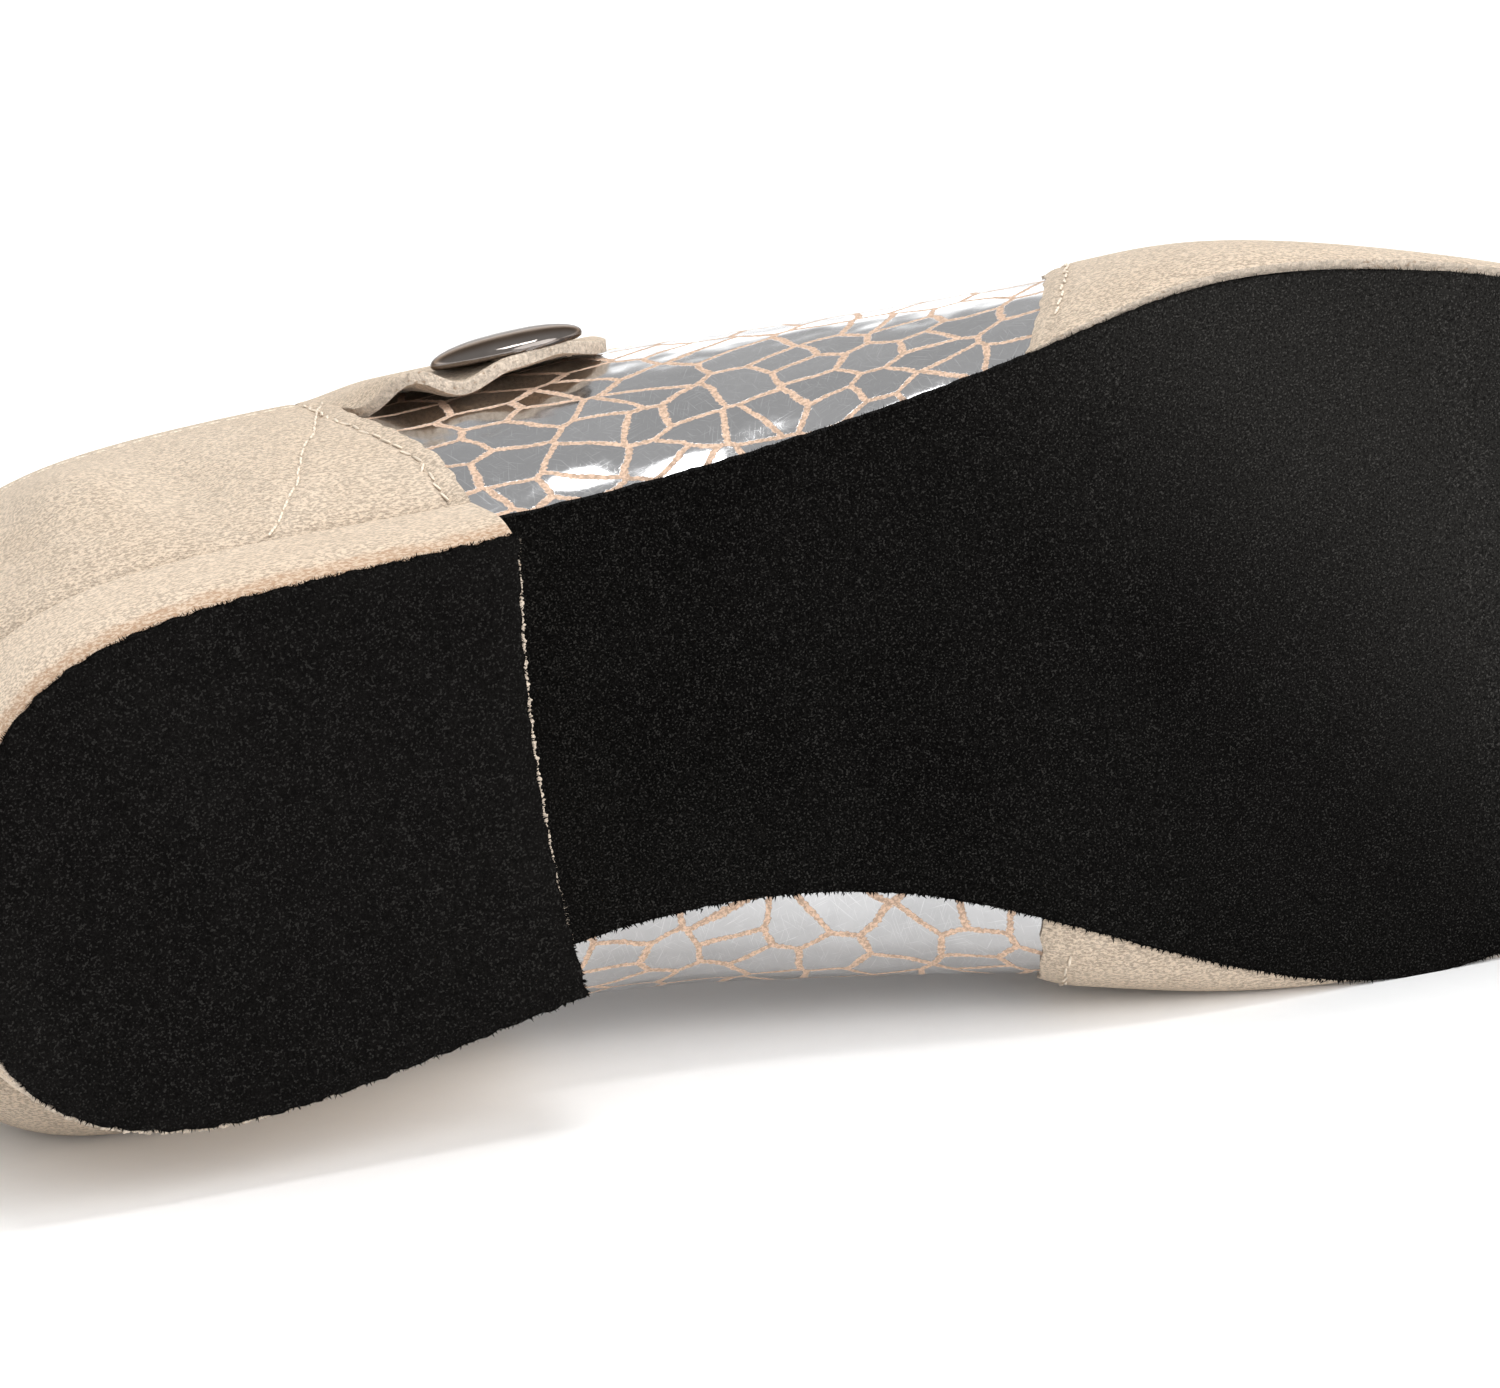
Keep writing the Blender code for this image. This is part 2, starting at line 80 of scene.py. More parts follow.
# Thicknesses, and how far one piece stands out from another
FIT_GAP = 0.3
SOLE_THICKNESS = 3.0
SOLE_EDGE_THICKNESS = 1.2
WALL_THICKNESS = 1.6
OVERLAY_THICKNESS = 0.9
INSOLE_THICKNESS = 3.0
TOP_PIECE_THICKNESS = 2.0
STRAP_THICKNESS = 1.5
LASTING_MARGIN = 8.0
SOLE_EDGE_OUT = 0.6
HEEL_EDGE_OUT = 0.8
HEEL_COVER_BULGE = 1.25
HEEL_COVER_ROLL = 0.35
HEEL_ROLL_SHARE = 0.4
HEEL_COVER_LIP = 0.9
HEEL_FLARE = 1.2
BREAST_HOLLOW = 2.0
INSOLE_INSET = WALL_THICKNESS + 1.0
STRAP_CLEARANCE = 0.5
PANEL_SEAT = 0.05
PANEL_FACE = FIT_GAP + OVERLAY_THICKNESS

# The button and the strap, as in their solids, but for the strap's softer edges
BUTTON_DIAMETER = 17.5
BUTTON_SEAT = 0.55
BUTTON_SPAN = 0.3
BUTTON_UP = 0.42
BUTTON_ACROSS = 0.615
STRAP_OUTER_RIBS = (3.02, 3.74)
STRAP_FLARE = 0.075
STRAP_INNER_RIBS = (14.80, 14.30)
STRAP_TIP_HEIGHT = 0.60
STRAP_TIP_ROUNDING = 0.16
STRAP_TUCK_HEIGHT = 0.74
STRAP_ARCH = 34.0
STRAP_OUTER_SHARE = 0.27
STRAP_TUCK_SHARE = 0.14
STRAP_LIFT = 0.4
STRAP_HUMP = 2.4
STRAP_HUMP_PLACE = 0.17
STRAP_HUMP_WIDTH = 0.10
STRAP_CURL = 1.7
STRAP_CURL_START = 0.32
STRAP_CURL_FULL = 0.56
STRAP_CURL_REACH = 0.6
STRAP_CURL_END = 0.72
STRAP_TIP_CURL = 0.7
STRAP_TIP_REACH = 0.16
STRAP_TIP_START = 0.15
STRAP_PRESS = 0.9
STRAP_PRESS_REACH = 0.24
STRAP_SPREAD = 0.14

# Ribs of the upper, in order round the shoe: heel, outer side, toe, inner side.
# A rib starts at the foot line, swells out, leans forward, and runs up to the collar under its brow.
# x is a percentage of the length, y of the ball width and z of the instep height.
RIB_COLUMNS = (
    "foot_x", "foot_y", "swell_y", "rise_z", "lean_x",
    "top_x", "top_y", "top_z", "brow_x", "brow_y", "brow_z",
)
RIB_TABLE = (
    (0.1, 1.0, 5.3, 26.0, 0.0, 2.1, 2.0, 125.0, -2.9, 0.6, -33.0),  # back of the heel
    (3.8, -22.6, 5.0, 23.0, 0.0, 5.6, -22.6, 117.0, -1.7, -4.0, -31.0),
    (12.9, -31.3, 5.8, 23.0, 0.0, 13.8, -34.0, 107.0, 0.0, -3.2, -28.0),
    (27.5, -30.1, 6.8, 22.0, 0.0, 27.3, -34.6, 105.0, 0.0, -3.4, -28.0),  # front edge of the quarter
    (40.0, -32.2, 8.2, 25.0, 1.0, 43.8, -31.2, 107.0, 0.0, -8.0, -26.0),
    (52.9, -38.8, 6.6, 30.0, 4.0, 57.5, -17.6, 105.0, 1.5, -19.0, -19.0),  # rear edge of the vamp
    (63.3, -42.6, 3.8, 25.0, 1.5, 61.7, -8.8, 102.0, 3.2, -18.0, -17.0),
    (77.5, -33.0, 1.2, 23.0, 0.0, 63.1, -2.4, 100.0, 9.2, -16.0, -19.0),
    (91.3, -10.6, 3.6, 28.0, 0.0, 63.8, 3.5, 100.0, 15.8, -9.5, -22.0),
    (99.8, 24.7, 4.6, 30.0, 0.0, 64.0, 9.5, 100.0, 18.8, 6.0, -24.0),  # tip of the toe
    (94.2, 48.8, 4.2, 29.0, 0.0, 63.8, 15.5, 100.0, 15.8, 16.0, -22.0),
    (79.6, 55.0, 3.2, 23.0, 0.0, 63.1, 21.5, 100.0, 10.4, 20.5, -19.0),
    (65.4, 55.6, 9.5, 10.5, 1.5, 61.3, 27.6, 102.0, 3.2, 20.0, -17.0),
    (50.4, 36.2, 30.0, 6.0, 3.8, 56.3, 33.5, 105.0, 1.5, 12.0, -22.0),  # rear edge of the vamp
    (39.6, 26.5, 31.0, 6.0, 1.0, 43.5, 37.0, 107.0, 0.0, 7.6, -29.0),
    (27.5, 27.1, 20.0, 11.0, 0.0, 27.3, 37.6, 105.0, 0.0, 6.6, -30.0),  # front edge of the quarter
    (12.9, 32.6, 17.0, 12.0, 0.0, 13.8, 39.4, 107.0, 0.0, 5.3, -30.0),
    (2.7, 24.6, 18.0, 14.0, 0.0, 5.2, 29.5, 117.0, -1.7, 5.6, -31.0),
)
RIB_SCALES = {"x": SHOE_LENGTH / 100.0, "y": BALL_WIDTH / 100.0, "z": INSTEP_HEIGHT / 100.0}
QUARTER_RIBS = (-3.0, 3.0)
VAMP_RIBS = (5.0, 13.0)
OUTER_BREAST_RIBS = (2.0, 5.0)
INNER_BREAST_RIBS = (16.0, 13.0)
TOE_RIB = 9.0
PANEL_FOOT = -0.014

# Soft creases of the upper and its panels: where each lies, how far it reaches, and its depth in mm
CREASE_COLUMNS = ("rib", "height", "reach_ribs", "reach_height", "depth")
CREASES = (
    (2.24, 0.44, 0.15, 0.24, -1.4),  # hollow in the outer heel panel
    (1.86, 0.62, 0.20, 0.20, 1.7),  # ridge behind that hollow
    (1.50, 0.40, 0.20, 0.22, -0.9),  # shallower hollow behind the ridge
    (1.15, 0.90, 0.22, 0.40, -0.9),  # dip under the outer collar, near the back
    (2.86, 0.55, 0.10, 0.40, -0.3),  # pull along the front edge of the outer heel panel
    (3.40, 0.05, 0.16, 0.06, -0.6),  # dents and swells where the foil turns under the outer waist
    (3.75, 0.07, 0.14, 0.06, 0.5),
    (4.12, 0.05, 0.17, 0.05, -0.5),
    (4.55, 0.06, 0.18, 0.06, 0.45),
    (4.92, 0.05, 0.12, 0.06, -0.4),
    (14.3, 0.30, 0.80, 0.05, -0.3),  # two long folds in the inner waist
    (14.0, 0.52, 0.70, 0.06, -0.4),
    (6.1, 0.34, 0.75, 0.30, 0.9),  # fuller toe panel over the outer ball
    (6.0, 0.62, 0.50, 0.07, -0.3),  # faint bend lines across the toe panel
    (12.0, 0.66, 0.50, 0.07, -0.3),
)

# The slanted seam of the heel panel, as ribs at heights up the wall, and its trough in mm
SEAM_HEIGHTS = (0.0, 0.29, 0.74, 1.0)
SEAM_RIBS = (2.33, 2.54, 2.80, 2.94)
SEAM_DEPTH = 0.4
SEAM_WIDTH = 0.6
SEAM_WANDER = 0.35
SEAM_WANDER_REACH = 21.0

# The crease of the heel panel over the heel cover in mm, and the wall's usual length
FOOT_CREASE = 1.25
FOOT_CREASE_WIDTH = 3.2
WALL_RISE = 55.0

# The outer edges of the panels lean by this many ribs between these heights
QUARTER_LEAN = -0.095
QUARTER_LEAN_HEIGHTS = (0.3, 0.7)
VAMP_LEAN = 0.17
VAMP_LEAN_HEIGHTS = (0.0, 0.42)

# The toe panel is thinned at its rear edges and rounded at its outer rear corner, in mm
VAMP_SKIVE = 0.75
VAMP_SKIVE_WIDTH = 1.35
VAMP_CORNER = 3.2
VAMP_CORNER_HEIGHTS = (0.36, 0.8)

# Rows of stitches in mm. Their heights are shares of the wall's, and their ends are in ribs
EDGE_STITCH_INSET = 2.4
COLLAR_STITCH_INSET = 2.4
STITCH_LENGTH = 1.7
STITCH_PITCH = 2.2
STITCH_RADIUS = 0.16
STITCH_RISE = 0.35 * STITCH_RADIUS
STITCH_TROUGH = 0.32
STITCH_TROUGH_WIDTH = 0.55
SEAM_STITCH_LENGTH = 2.3
SEAM_STITCH_PITCH = 2.6
STITCH_HEIGHTS = (0.07, 0.95)
EDGE_STITCH_SINK = 0.14
COLLAR_STITCH_SINK = 0.12
COLLAR_STITCH_END = 0.1
SEAM_STITCH_SINK = 0.7 * SEAM_DEPTH

# Ragged cut edges and their loose fibres in mm. Waves up an edge take the wall to be of one height
WALL_TO_WAVE = 50.0
WAVE_SHARES = (1.0, 0.61, 0.37, 0.23)
WAVE_PEAK = 1.6
CUT_WOBBLE = 0.2
CUT_REACH = 5.0
SOLE_WOBBLE = 0.05
SOLE_WOBBLE_REACH = 2.3
SOLE_RAG = 0.08
SOLE_RAG_REACH = 0.8
SOLE_TRIM = 0.6
SOLE_TRIM_RIB = 6.2
SOLE_TRIM_REACH = 0.9
BLACK_FIBRE = 0.55
BLACK_FIBRE_PITCH = 0.16
SAND_FIBRE = 0.4
SAND_FIBRE_PITCH = 0.2
FIBRE_RADIUS = 0.05
TUFT = 0.75
TUFT_PITCH = 0.45
TUFT_RADIUS = 0.14
FIBRE_LEAN_ALONG = 0.55
FIBRE_LEAN_ASIDE = 0.5
FIBRE_SHORTEST = 0.35
FIBRE_ROOT = 0.12
SOLE_FIBRE_HEIGHTS = (0.15, 0.5, 0.9)
SOLE_TUFT_HEIGHTS = (-0.12, 0.05)
SOLE_FIBRE_DROP = -0.35
HEEL_FIBRE_HEIGHTS = (0.35, 1.0, 1.6)
HEEL_FIBRE_DROP = -0.4
PANEL_FIBRE_SINK = 0.2
PANEL_FIBRE_RISE = 0.5
PANEL_FIBRE_FOOT = 0.06

# Loose fibres of the strap: shares of its length, and for each edge its share across, a share inside it
# and the way that turns towards the strap's face
STRAP_FIBRE_SHARES = (0.02, 0.98)
STRAP_EDGES = ((0.0, 0.04, -1.0), (1.0, 0.96, 1.0))

# The raw edge of the heel cover in mm: each stretch with its name, its first and last share of the way
# round the heel, its seed and the share of it where it starts to fade
RAW_STRETCHES = (
    ("breast_raw_edge", 0.79, 0.999, 51, 0.86),
    ("inner_raw_edge", 0.37, 0.64, 52, 0.7),
)
RAW_THICKNESS = 0.38
RAW_LEAST = 0.06
RAW_BUMPS = ((0.14, 2.2, 0), (0.13, 0.6, 2))
RAW_FADE_IN = 0.4
RAW_FADED = 0.05
RAW_OUT = 0.1
RAW_HEIGHT = 0.9
RAW_FLATNESS = 0.8
RAW_FIBRE_HEIGHT = 0.7
RAW_FIBRE_DROP = -0.8
RAW_FIBRE = 1.8 * SAND_FIBRE
RAW_FIBRE_PITCH = 0.5 * SAND_FIBRE_PITCH

# Dents and wear of the black suede in mm, and how far the sole follows the hollow breast
SOLE_DENT = 0.05
SOLE_DENT_REACH = 9.0
SOLE_BREAST_FADE = 0.1
TOP_PIECE_DENT = 0.06
TOP_PIECE_DENT_REACH = 8.0
TOP_PIECE_WOBBLE_REACH = 4.0
TOP_PIECE_WEAR = 0.25
TOP_PIECE_WEAR_START = 0.93
TOP_PIECE_MIDDLE = (HEEL_BREAST / 2.0, 0.5)

# Rounded edges in mm
UPPER_ROUNDING = 0.45
PANEL_ROUNDING = 0.3
SOLE_ROUNDING = 0.4
COVER_ROUNDING = 0.3
INSOLE_ROUNDING = 0.6
STRAP_ROUNDING = 0.25

# Mesh fineness, the height where lengths round the shoe are taken, and limits in metres and degrees
UPPER_COLUMNS = 380
UPPER_ROWS = 48
QUARTER_COLUMNS = 400
VAMP_COLUMNS = 250
PANEL_ROWS = 60
SOLE_COLUMNS = 220
SOLE_ROWS = 60
HEEL_COLUMNS = 260
HEEL_ROWS = 24
TOP_PIECE_RINGS = 26
STRAP_COLUMNS = 150
STRAP_ROWS = 32
LOOP_STEPS = 300
BREAST_STEPS = 80
BUTTON_SIDES = 96
RAW_COLUMNS = 360
RAW_SIDES = 8
STITCH_ROW_STEPS = 300
COLLAR_ROW_STEPS = 400
SOLE_EDGE_STEPS = 1600
TOP_PIECE_EDGE_STEPS = 1200
RAW_EDGE_STEPS = 500
PANEL_EDGE_STEPS = 400
STRAP_EDGE_STEPS = 500
ROUND_HEIGHT = 0.35
MERGE_DISTANCE = 0.00001
SMOOTH_ANGLE = 42.0

# Turned profile of the button: radius as a share of its own, height as a share of its thickness
BUTTON_PROFILE = (
    (0.94, 0.00), (0.985, 0.08), (1.00, 0.20), (0.995, 0.32), (0.97, 0.44), (0.92, 0.56), (0.84, 0.68),
    (0.73, 0.79), (0.58, 0.89), (0.40, 0.96), (0.20, 0.99), (0.05, 1.00),
)
BUTTON_SHANK = 5.0
BUTTON_DOME = 2.5
BUTTON_PRESS = 0.15

# The stage, in metres
FLOOR_SIZE = 12.0
SOFTBOX_PLACE = (0.0, 0.02, 0.95)
SOFTBOX_SIZE = (0.55, 0.38)
FILL_PLACE = (0.6, -1.0, 0.65)
FILL_SPREAD = 70.0
SENSOR_WIDTH = 36.0
NEAREST_SEEN = 0.01

# What all colour properties share
COLOUR = {"subtype": "COLOR", "size": 4, "min": 0.0, "max": 1.0}


class ShoeColours(bpy.types.PropertyGroup):
    """Colours of the shoe's finishes."""

    suede: FloatVectorProperty(
        name="Suede", description="Beige suede of the panels, heel cover and strap",
        **COLOUR, default=(0.56, 0.458, 0.358, 1.0),
    )
    suede_shade: FloatVectorProperty(
        name="Suede shade", description="Beige suede where its nap is brushed the other way",
        **COLOUR, default=(0.475, 0.365, 0.265, 1.0),
    )
    # Brown of the heel cover's lower edge: rubbed wear, and painted shade where the cover turns under
    rubbed: FloatVectorProperty(
        name="Rubbed edge, painted shade", description="Heel cover's lower edge: wear and painted shade",
        **COLOUR, default=(0.38, 0.24, 0.15, 1.0),
    )
    foil: FloatVectorProperty(
        name="Foil", description="Silver foil of the sides",
        **COLOUR, default=(0.53, 0.53, 0.535, 1.0),
    )
    crack: FloatVectorProperty(
        name="Crack lines", description="Bare leather between the cells of foil",
        **COLOUR, default=(0.55, 0.385, 0.28, 1.0),
    )
    black: FloatVectorProperty(
        name="Black suede", description="Sole and heel top piece",
        **COLOUR, default=(0.0020, 0.0018, 0.0017, 1.0),
    )
    fibre: FloatVectorProperty(
        name="Black suede fibre", description="Lighter fibres in the black suede",
        **COLOUR, default=(0.046, 0.044, 0.041, 1.0),
    )
    lining: FloatVectorProperty(
        name="Lining", description="Smooth leather inside the shoe",
        **COLOUR, default=(0.58, 0.44, 0.31, 1.0),
    )
    cut_edge: FloatVectorProperty(
        name="Cut edge", description="Raw cut edge of the suede",
        **COLOUR, default=(0.72, 0.61, 0.50, 1.0),
    )
    underside: FloatVectorProperty(
        name="Strap underside", description="Flesh side of the strap",
        **COLOUR, default=(0.45, 0.30, 0.19, 1.0),
    )
    thread: FloatVectorProperty(
        name="Thread", description="Sewing thread",
        **COLOUR, default=(0.74, 0.64, 0.52, 1.0),
    )
    metal: FloatVectorProperty(
        name="Button metal", description="Polished dark nickel of the button",
        **COLOUR, default=(0.24, 0.213, 0.197, 1.0),
    )


class ShoeSizes(bpy.types.PropertyGroup):
    """Sizes of the shoe's patterns and grain."""

    crackle_cell: FloatProperty(
        name="Crackle cell", description="Width of a cell of the crackle pattern",
        unit="LENGTH", min=0.002, max=0.03, default=0.0064,
    )
    crackle_line: FloatProperty(
        name="Crack line", description="Width of a line between two cells",
        unit="LENGTH", min=0.0002, max=0.004, default=0.00078,
    )
    suede_grain: FloatProperty(
        name="Suede grain", description="Size of the beige suede's nap",
        unit="LENGTH", min=0.0001, max=0.002, default=0.0003,
    )
    black_grain: FloatProperty(
        name="Black suede grain", description="Size of the black suede's nap",
        unit="LENGTH", min=0.0001, max=0.002, default=0.00032,
    )


class StageLook(bpy.types.PropertyGroup):
    """Camera and light."""

    azimuth: FloatProperty(
        name="Azimuth", description="Camera's turn round the shoe, 0 facing its sole",
        subtype="ANGLE", default=math.radians(-20.58),
    )
    elevation: FloatProperty(
        name="Elevation", description="Camera's angle above the floor",
        subtype="ANGLE", default=math.radians(17.26),
    )
    roll: FloatProperty(
        name="Roll", description="Camera's turn about its own axis",
        subtype="ANGLE", default=math.radians(-2.91),
    )
    distance: FloatProperty(
        name="Distance", description="Camera's distance from the middle of its view",
        unit="LENGTH", min=0.1, default=0.702,
    )
    lens: FloatProperty(
        name="Lens", description="Focal length on a 36 mm sensor, in mm",
        min=10.0, default=156.6,
    )
    softbox: FloatProperty(
        name="Softbox", description="Power of the softbox over the shoe, in watts",
        min=0.0, default=5.6,
    )
    fill: FloatProperty(
        name="Fill", description="Strength of the broad soft light from behind the camera",
        min=0.0, default=2.4,
    )
    floor: FloatVectorProperty(
        name="Floor", description="Pale floor",
        **COLOUR, default=(0.97, 0.97, 0.97, 1.0),
    )


# Wall functions


def closed_spline_bends(rows):
    """Second derivatives of the smooth closed curve that runs through all the rows."""
    one = np.eye(len(rows))
    system = 4.0 * one + np.roll(one, 1, axis=0) + np.roll(one, -1, axis=0)
    turns = np.roll(rows, 1, axis=0) - 2.0 * rows + np.roll(rows, -1, axis=0)
    return np.linalg.solve(system, 6.0 * turns)


RIBS = np.array(RIB_TABLE) * np.array([RIB_SCALES[name[-1]] for name in RIB_COLUMNS])
RIB_COUNT = len(RIBS)
RIB_BENDS = closed_spline_bends(RIBS)


def mix(a, b, share):
    """The value a share of the way from a to b."""
    return a + (b - a) * share


def column(values):
    """An array of numbers as a column that multiplies points."""
    return np.asarray(values, float)[:, None]


def points_of(x, y, z):
    """Three arrays of numbers as one array of points."""
    return np.stack(np.broadcast_arrays(x, y, z), axis=1).astype(float)


def raised(plan, z):
    """Plan places, or directions, with a height."""
    return points_of(plan[:, 0], plan[:, 1], z)


def unit(vectors):
    """Each vector at length 1."""
    return vectors / np.linalg.norm(vectors, axis=1, keepdims=True)


def smooth_step(t):
    """0 below 0, 1 above 1, and a soft S between them."""
    t = np.clip(t, 0.0, 1.0)
    return t * t * (3.0 - 2.0 * t)


def ribs_at(u):
    """The ribs at places u round the shoe, where whole numbers are rows of the table."""
    low = np.floor(u).astype(int)
    t = column(u - low)
    s = 1.0 - t
    here = low % RIB_COUNT
    after = (low + 1) % RIB_COUNT
    bends = (s**3 - s) * RIB_BENDS[here] + (t**3 - t) * RIB_BENDS[after]
    rows = s * RIBS[here] + t * RIBS[after] + bends / 6.0
    return dict(zip(RIB_COLUMNS, rows.T))


def sole_height(x):
    """Height of the tread above the ground: heel seat, arch, flat tread, then toe spring."""
    heel = mix(HEEL_BACK_HEIGHT, HEEL_BREAST_HEIGHT, x / HEEL_BREAST)
    arch = HEEL_BREAST_HEIGHT * (1.0 - smooth_step((x - HEEL_BREAST) / (TREAD_START - HEEL_BREAST)))
    toe = TOE_SPRING * ((x - TREAD_END) / (SHOE_LENGTH - TREAD_END)) ** 2
    return np.where(x <= HEEL_BREAST, heel, np.where(x <= TREAD_END, arch, toe))


def seat_height(x):
    """Height of the underside of the upper."""
    return sole_height(x) + SOLE_THICKNESS + FIT_GAP


def drawn_down(x):
    """How far the upper is drawn down over the edge of the sole, in front of the heel."""
    return (SOLE_THICKNESS - SOLE_EDGE_THICKNESS) * smooth_step((x - HEEL_BREAST + 4.0) / 6.0)


def foot_normal(u):
    """Outward direction of the foot line, in plan."""
    step = 0.01
    before = ribs_at(u - step)
    after = ribs_at(u + step)
    along = np.stack([after["foot_x"] - before["foot_x"], after["foot_y"] - before["foot_y"]], axis=1)
    along = unit(along)
    return np.stack([along[:, 1], -along[:, 0]], axis=1)


def foot_line(u, out=0.0):
    """Plan places of the foot line, moved outwards by out."""
    rows = ribs_at(u)
    out = np.broadcast_to(out, u.shape)
    return np.stack([rows["foot_x"], rows["foot_y"]], axis=1) + column(out) * foot_normal(u)


def pressed_back(x, y):
    """The sideways places y, held back where the inner wall would reach through the floor."""
    floor = FLOOR_AT_BALL + FLOOR_SLOPE * (x - BALL_PLACE) - PANEL_FACE
    return -PRESS_SOFTNESS * np.logaddexp(-y / PRESS_SOFTNESS, -floor / PRESS_SOFTNESS)


def wall_surface(u, v):
    """Points on the outer face of the upper, from the foot line (v = 0) to the collar (v = 1)."""
    rows = ribs_at(u)
    normal = foot_normal(u)
    foot_z = seat_height(rows["foot_x"]) - drawn_down(rows["foot_x"])
    foot = points_of(rows["foot_x"], rows["foot_y"], foot_z)
    out = rows["swell_y"]
    swell = foot + points_of(out * normal[:, 0] + rows["lean_x"], out * normal[:, 1], rows["rise_z"])
    top = points_of(rows["top_x"], rows["top_y"], rows["top_z"])
    brow = top + points_of(rows["brow_x"], rows["brow_y"], rows["brow_z"])
    t = column(v)
    s = 1.0 - t
    points = s**3 * foot + 3.0 * s * s * t * swell + 3.0 * s * t * t * brow + t**3 * top
    points[:, 1] = pressed_back(points[:, 0], points[:, 1])
    return points


def wall_normal(u, v):
    """Outward directions of the upper's outer face."""
    step = 0.02
    round_way = wall_surface(u + step, v) - wall_surface(u - step, v)
    above = np.clip(v + step, step, 1.0)
    up_way = wall_surface(u, above) - wall_surface(u, np.maximum(v, step) - step)
    return unit(np.cross(round_way, up_way))


def creases(u, v):
    """How far the soft creases lift the wall, in mm."""
    lift = np.zeros_like(u)
    half = RIB_COUNT / 2.0
    for values in CREASES:
        crease = dict(zip(CREASE_COLUMNS, values))
        aside = ((u - crease["rib"] + half) % RIB_COUNT - half) / crease["reach_ribs"]
        above = (v - crease["height"]) / crease["reach_height"]
        lift += crease["depth"] * np.exp(-aside * aside - above * above)
    return lift


def wall_point(u, v, lift=0.0):
    """Points that stand off the creased wall by lift."""
    u, v, lift = np.broadcast_arrays(np.asarray(u, float), np.asarray(v, float), np.asarray(lift, float))
    return wall_surface(u, v) + column(lift + creases(u, v)) * wall_normal(u, v)


def collar_rise(u):
    """Directions in which the upper runs up to its collar."""
    rows = ribs_at(u)
    return unit(-points_of(rows["brow_x"], rows["brow_y"], rows["brow_z"]))


def walked(points):
    """Distance walked along a line of points, at each of them."""
    steps = np.linalg.norm(np.diff(points, axis=0), axis=1)
    return np.concatenate([[0.0], np.cumsum(steps)])


ROUND_RIBS = np.linspace(-RIB_COUNT, 2.0 * RIB_COUNT, 2401)
ROUND_LENGTHS = walked(wall_surface(ROUND_RIBS, np.full_like(ROUND_RIBS, ROUND_HEIGHT)))


def round_length(u):
    """Distance round the shoe, part of the way up its wall, in mm."""
    return np.interp(u, ROUND_RIBS, ROUND_LENGTHS)


def rib_beside(u, distance):
    """The rib that lies a distance in mm further round than rib u."""
    return np.interp(round_length(u) + distance, ROUND_LENGTHS, ROUND_RIBS)


def rib_length(u):
    """Length of the wall from foot line to collar at each rib, in mm."""
    steps = np.linspace(0.0, 1.0, 25)
    lines = [wall_surface(u, np.full_like(u, v)) for v in steps]
    return sum(np.linalg.norm(b - a, axis=1) for a, b in zip(lines, lines[1:]))


def rib_at(x, ribs, out):
    """The place between two ribs, the first nearer the heel, where the foot line reaches x."""
    rear, front = ribs
    for _ in range(40):
        middle = (rear + front) / 2.0
        if foot_line(np.array([middle]), out)[0, 0] < x:
            rear = middle
        else:
            front = middle
    return (rear + front) / 2.0


def wobble(distance, reach, seed):
    """A smooth random wave along a distance, from about -1 to 1, with bumps of about that reach."""
    rng = np.random.default_rng(seed)
    wave = np.zeros_like(distance, dtype=float)
    for share in WAVE_SHARES:
        start = rng.uniform(0.0, 2.0 * math.pi)
        wave += share * np.sin(2.0 * math.pi * distance / (reach * share) + start)
    return wave / WAVE_PEAK


def shoe_to_frame():
    """The turn and shift that take the standing shoe, in mm, to the frame of the solids, in metres."""
    up = Vector((FLOOR_SLOPE, -1.0, 0.0)).normalized()
    forward = (Vector((1.0, 0.0, 0.0)) - up * up.x).normalized()
    turn = Matrix((forward, up.cross(forward), up))
    mount = next(m for m in frame["record"]["mounts"] if m["name"] == "heel_base")
    shift = Vector(mount["pos_m"]) - turn @ Vector(HEEL_BASE_PLACE) * MM
    return np.array(turn), np.array(shift)


TURN, SHIFT = shoe_to_frame()


def placed(points):
    """Points of the standing shoe, in mm, as points of the frame, in metres."""
    return points @ TURN.T * MM + SHIFT


def turned(vectors):
    """Directions on the standing shoe as directions of the frame."""
    return vectors @ TURN.T


# Modelling


def grid_piece(name, columns, rows, place, lengths=None):
    """A grid whose corners move to place(across, up), both from 0 to 1, with its UV map in metres."""
    bpy.ops.object.select_all(action="DESELECT")
    bpy.ops.mesh.primitive_grid_add(x_subdivisions=columns, y_subdivisions=rows, size=1.0)
    piece = bpy.context.object
    piece.name = name
    mesh = piece.data
    mesh.name = name
    corners = np.empty(len(mesh.vertices) * 3)
    mesh.vertices.foreach_get("co", corners)
    shares = corners.reshape(-1, 3)[:, :2] + 0.5
    mesh.vertices.foreach_set("co", placed(place(shares[:, 0], shares[:, 1])).ravel())
    if lengths:
        used = np.empty(len(mesh.loops), int)
        mesh.loops.foreach_get("vertex_index", used)
        flat = lengths(shares[:, 0], shares[:, 1])[used] * MM
        mesh.uv_layers.active.data.foreach_set("uv", flat.ravel())
    mesh.update()
    return piece


def merge_corners():
    """Joins the active piece's corners that lie on each other, as along the seam of a closed wall."""
    bpy.ops.object.mode_set(mode="EDIT")
    bpy.ops.mesh.select_all(action="SELECT")
    bpy.ops.mesh.remove_doubles(threshold=MERGE_DISTANCE)
    bpy.ops.object.mode_set(mode="OBJECT")


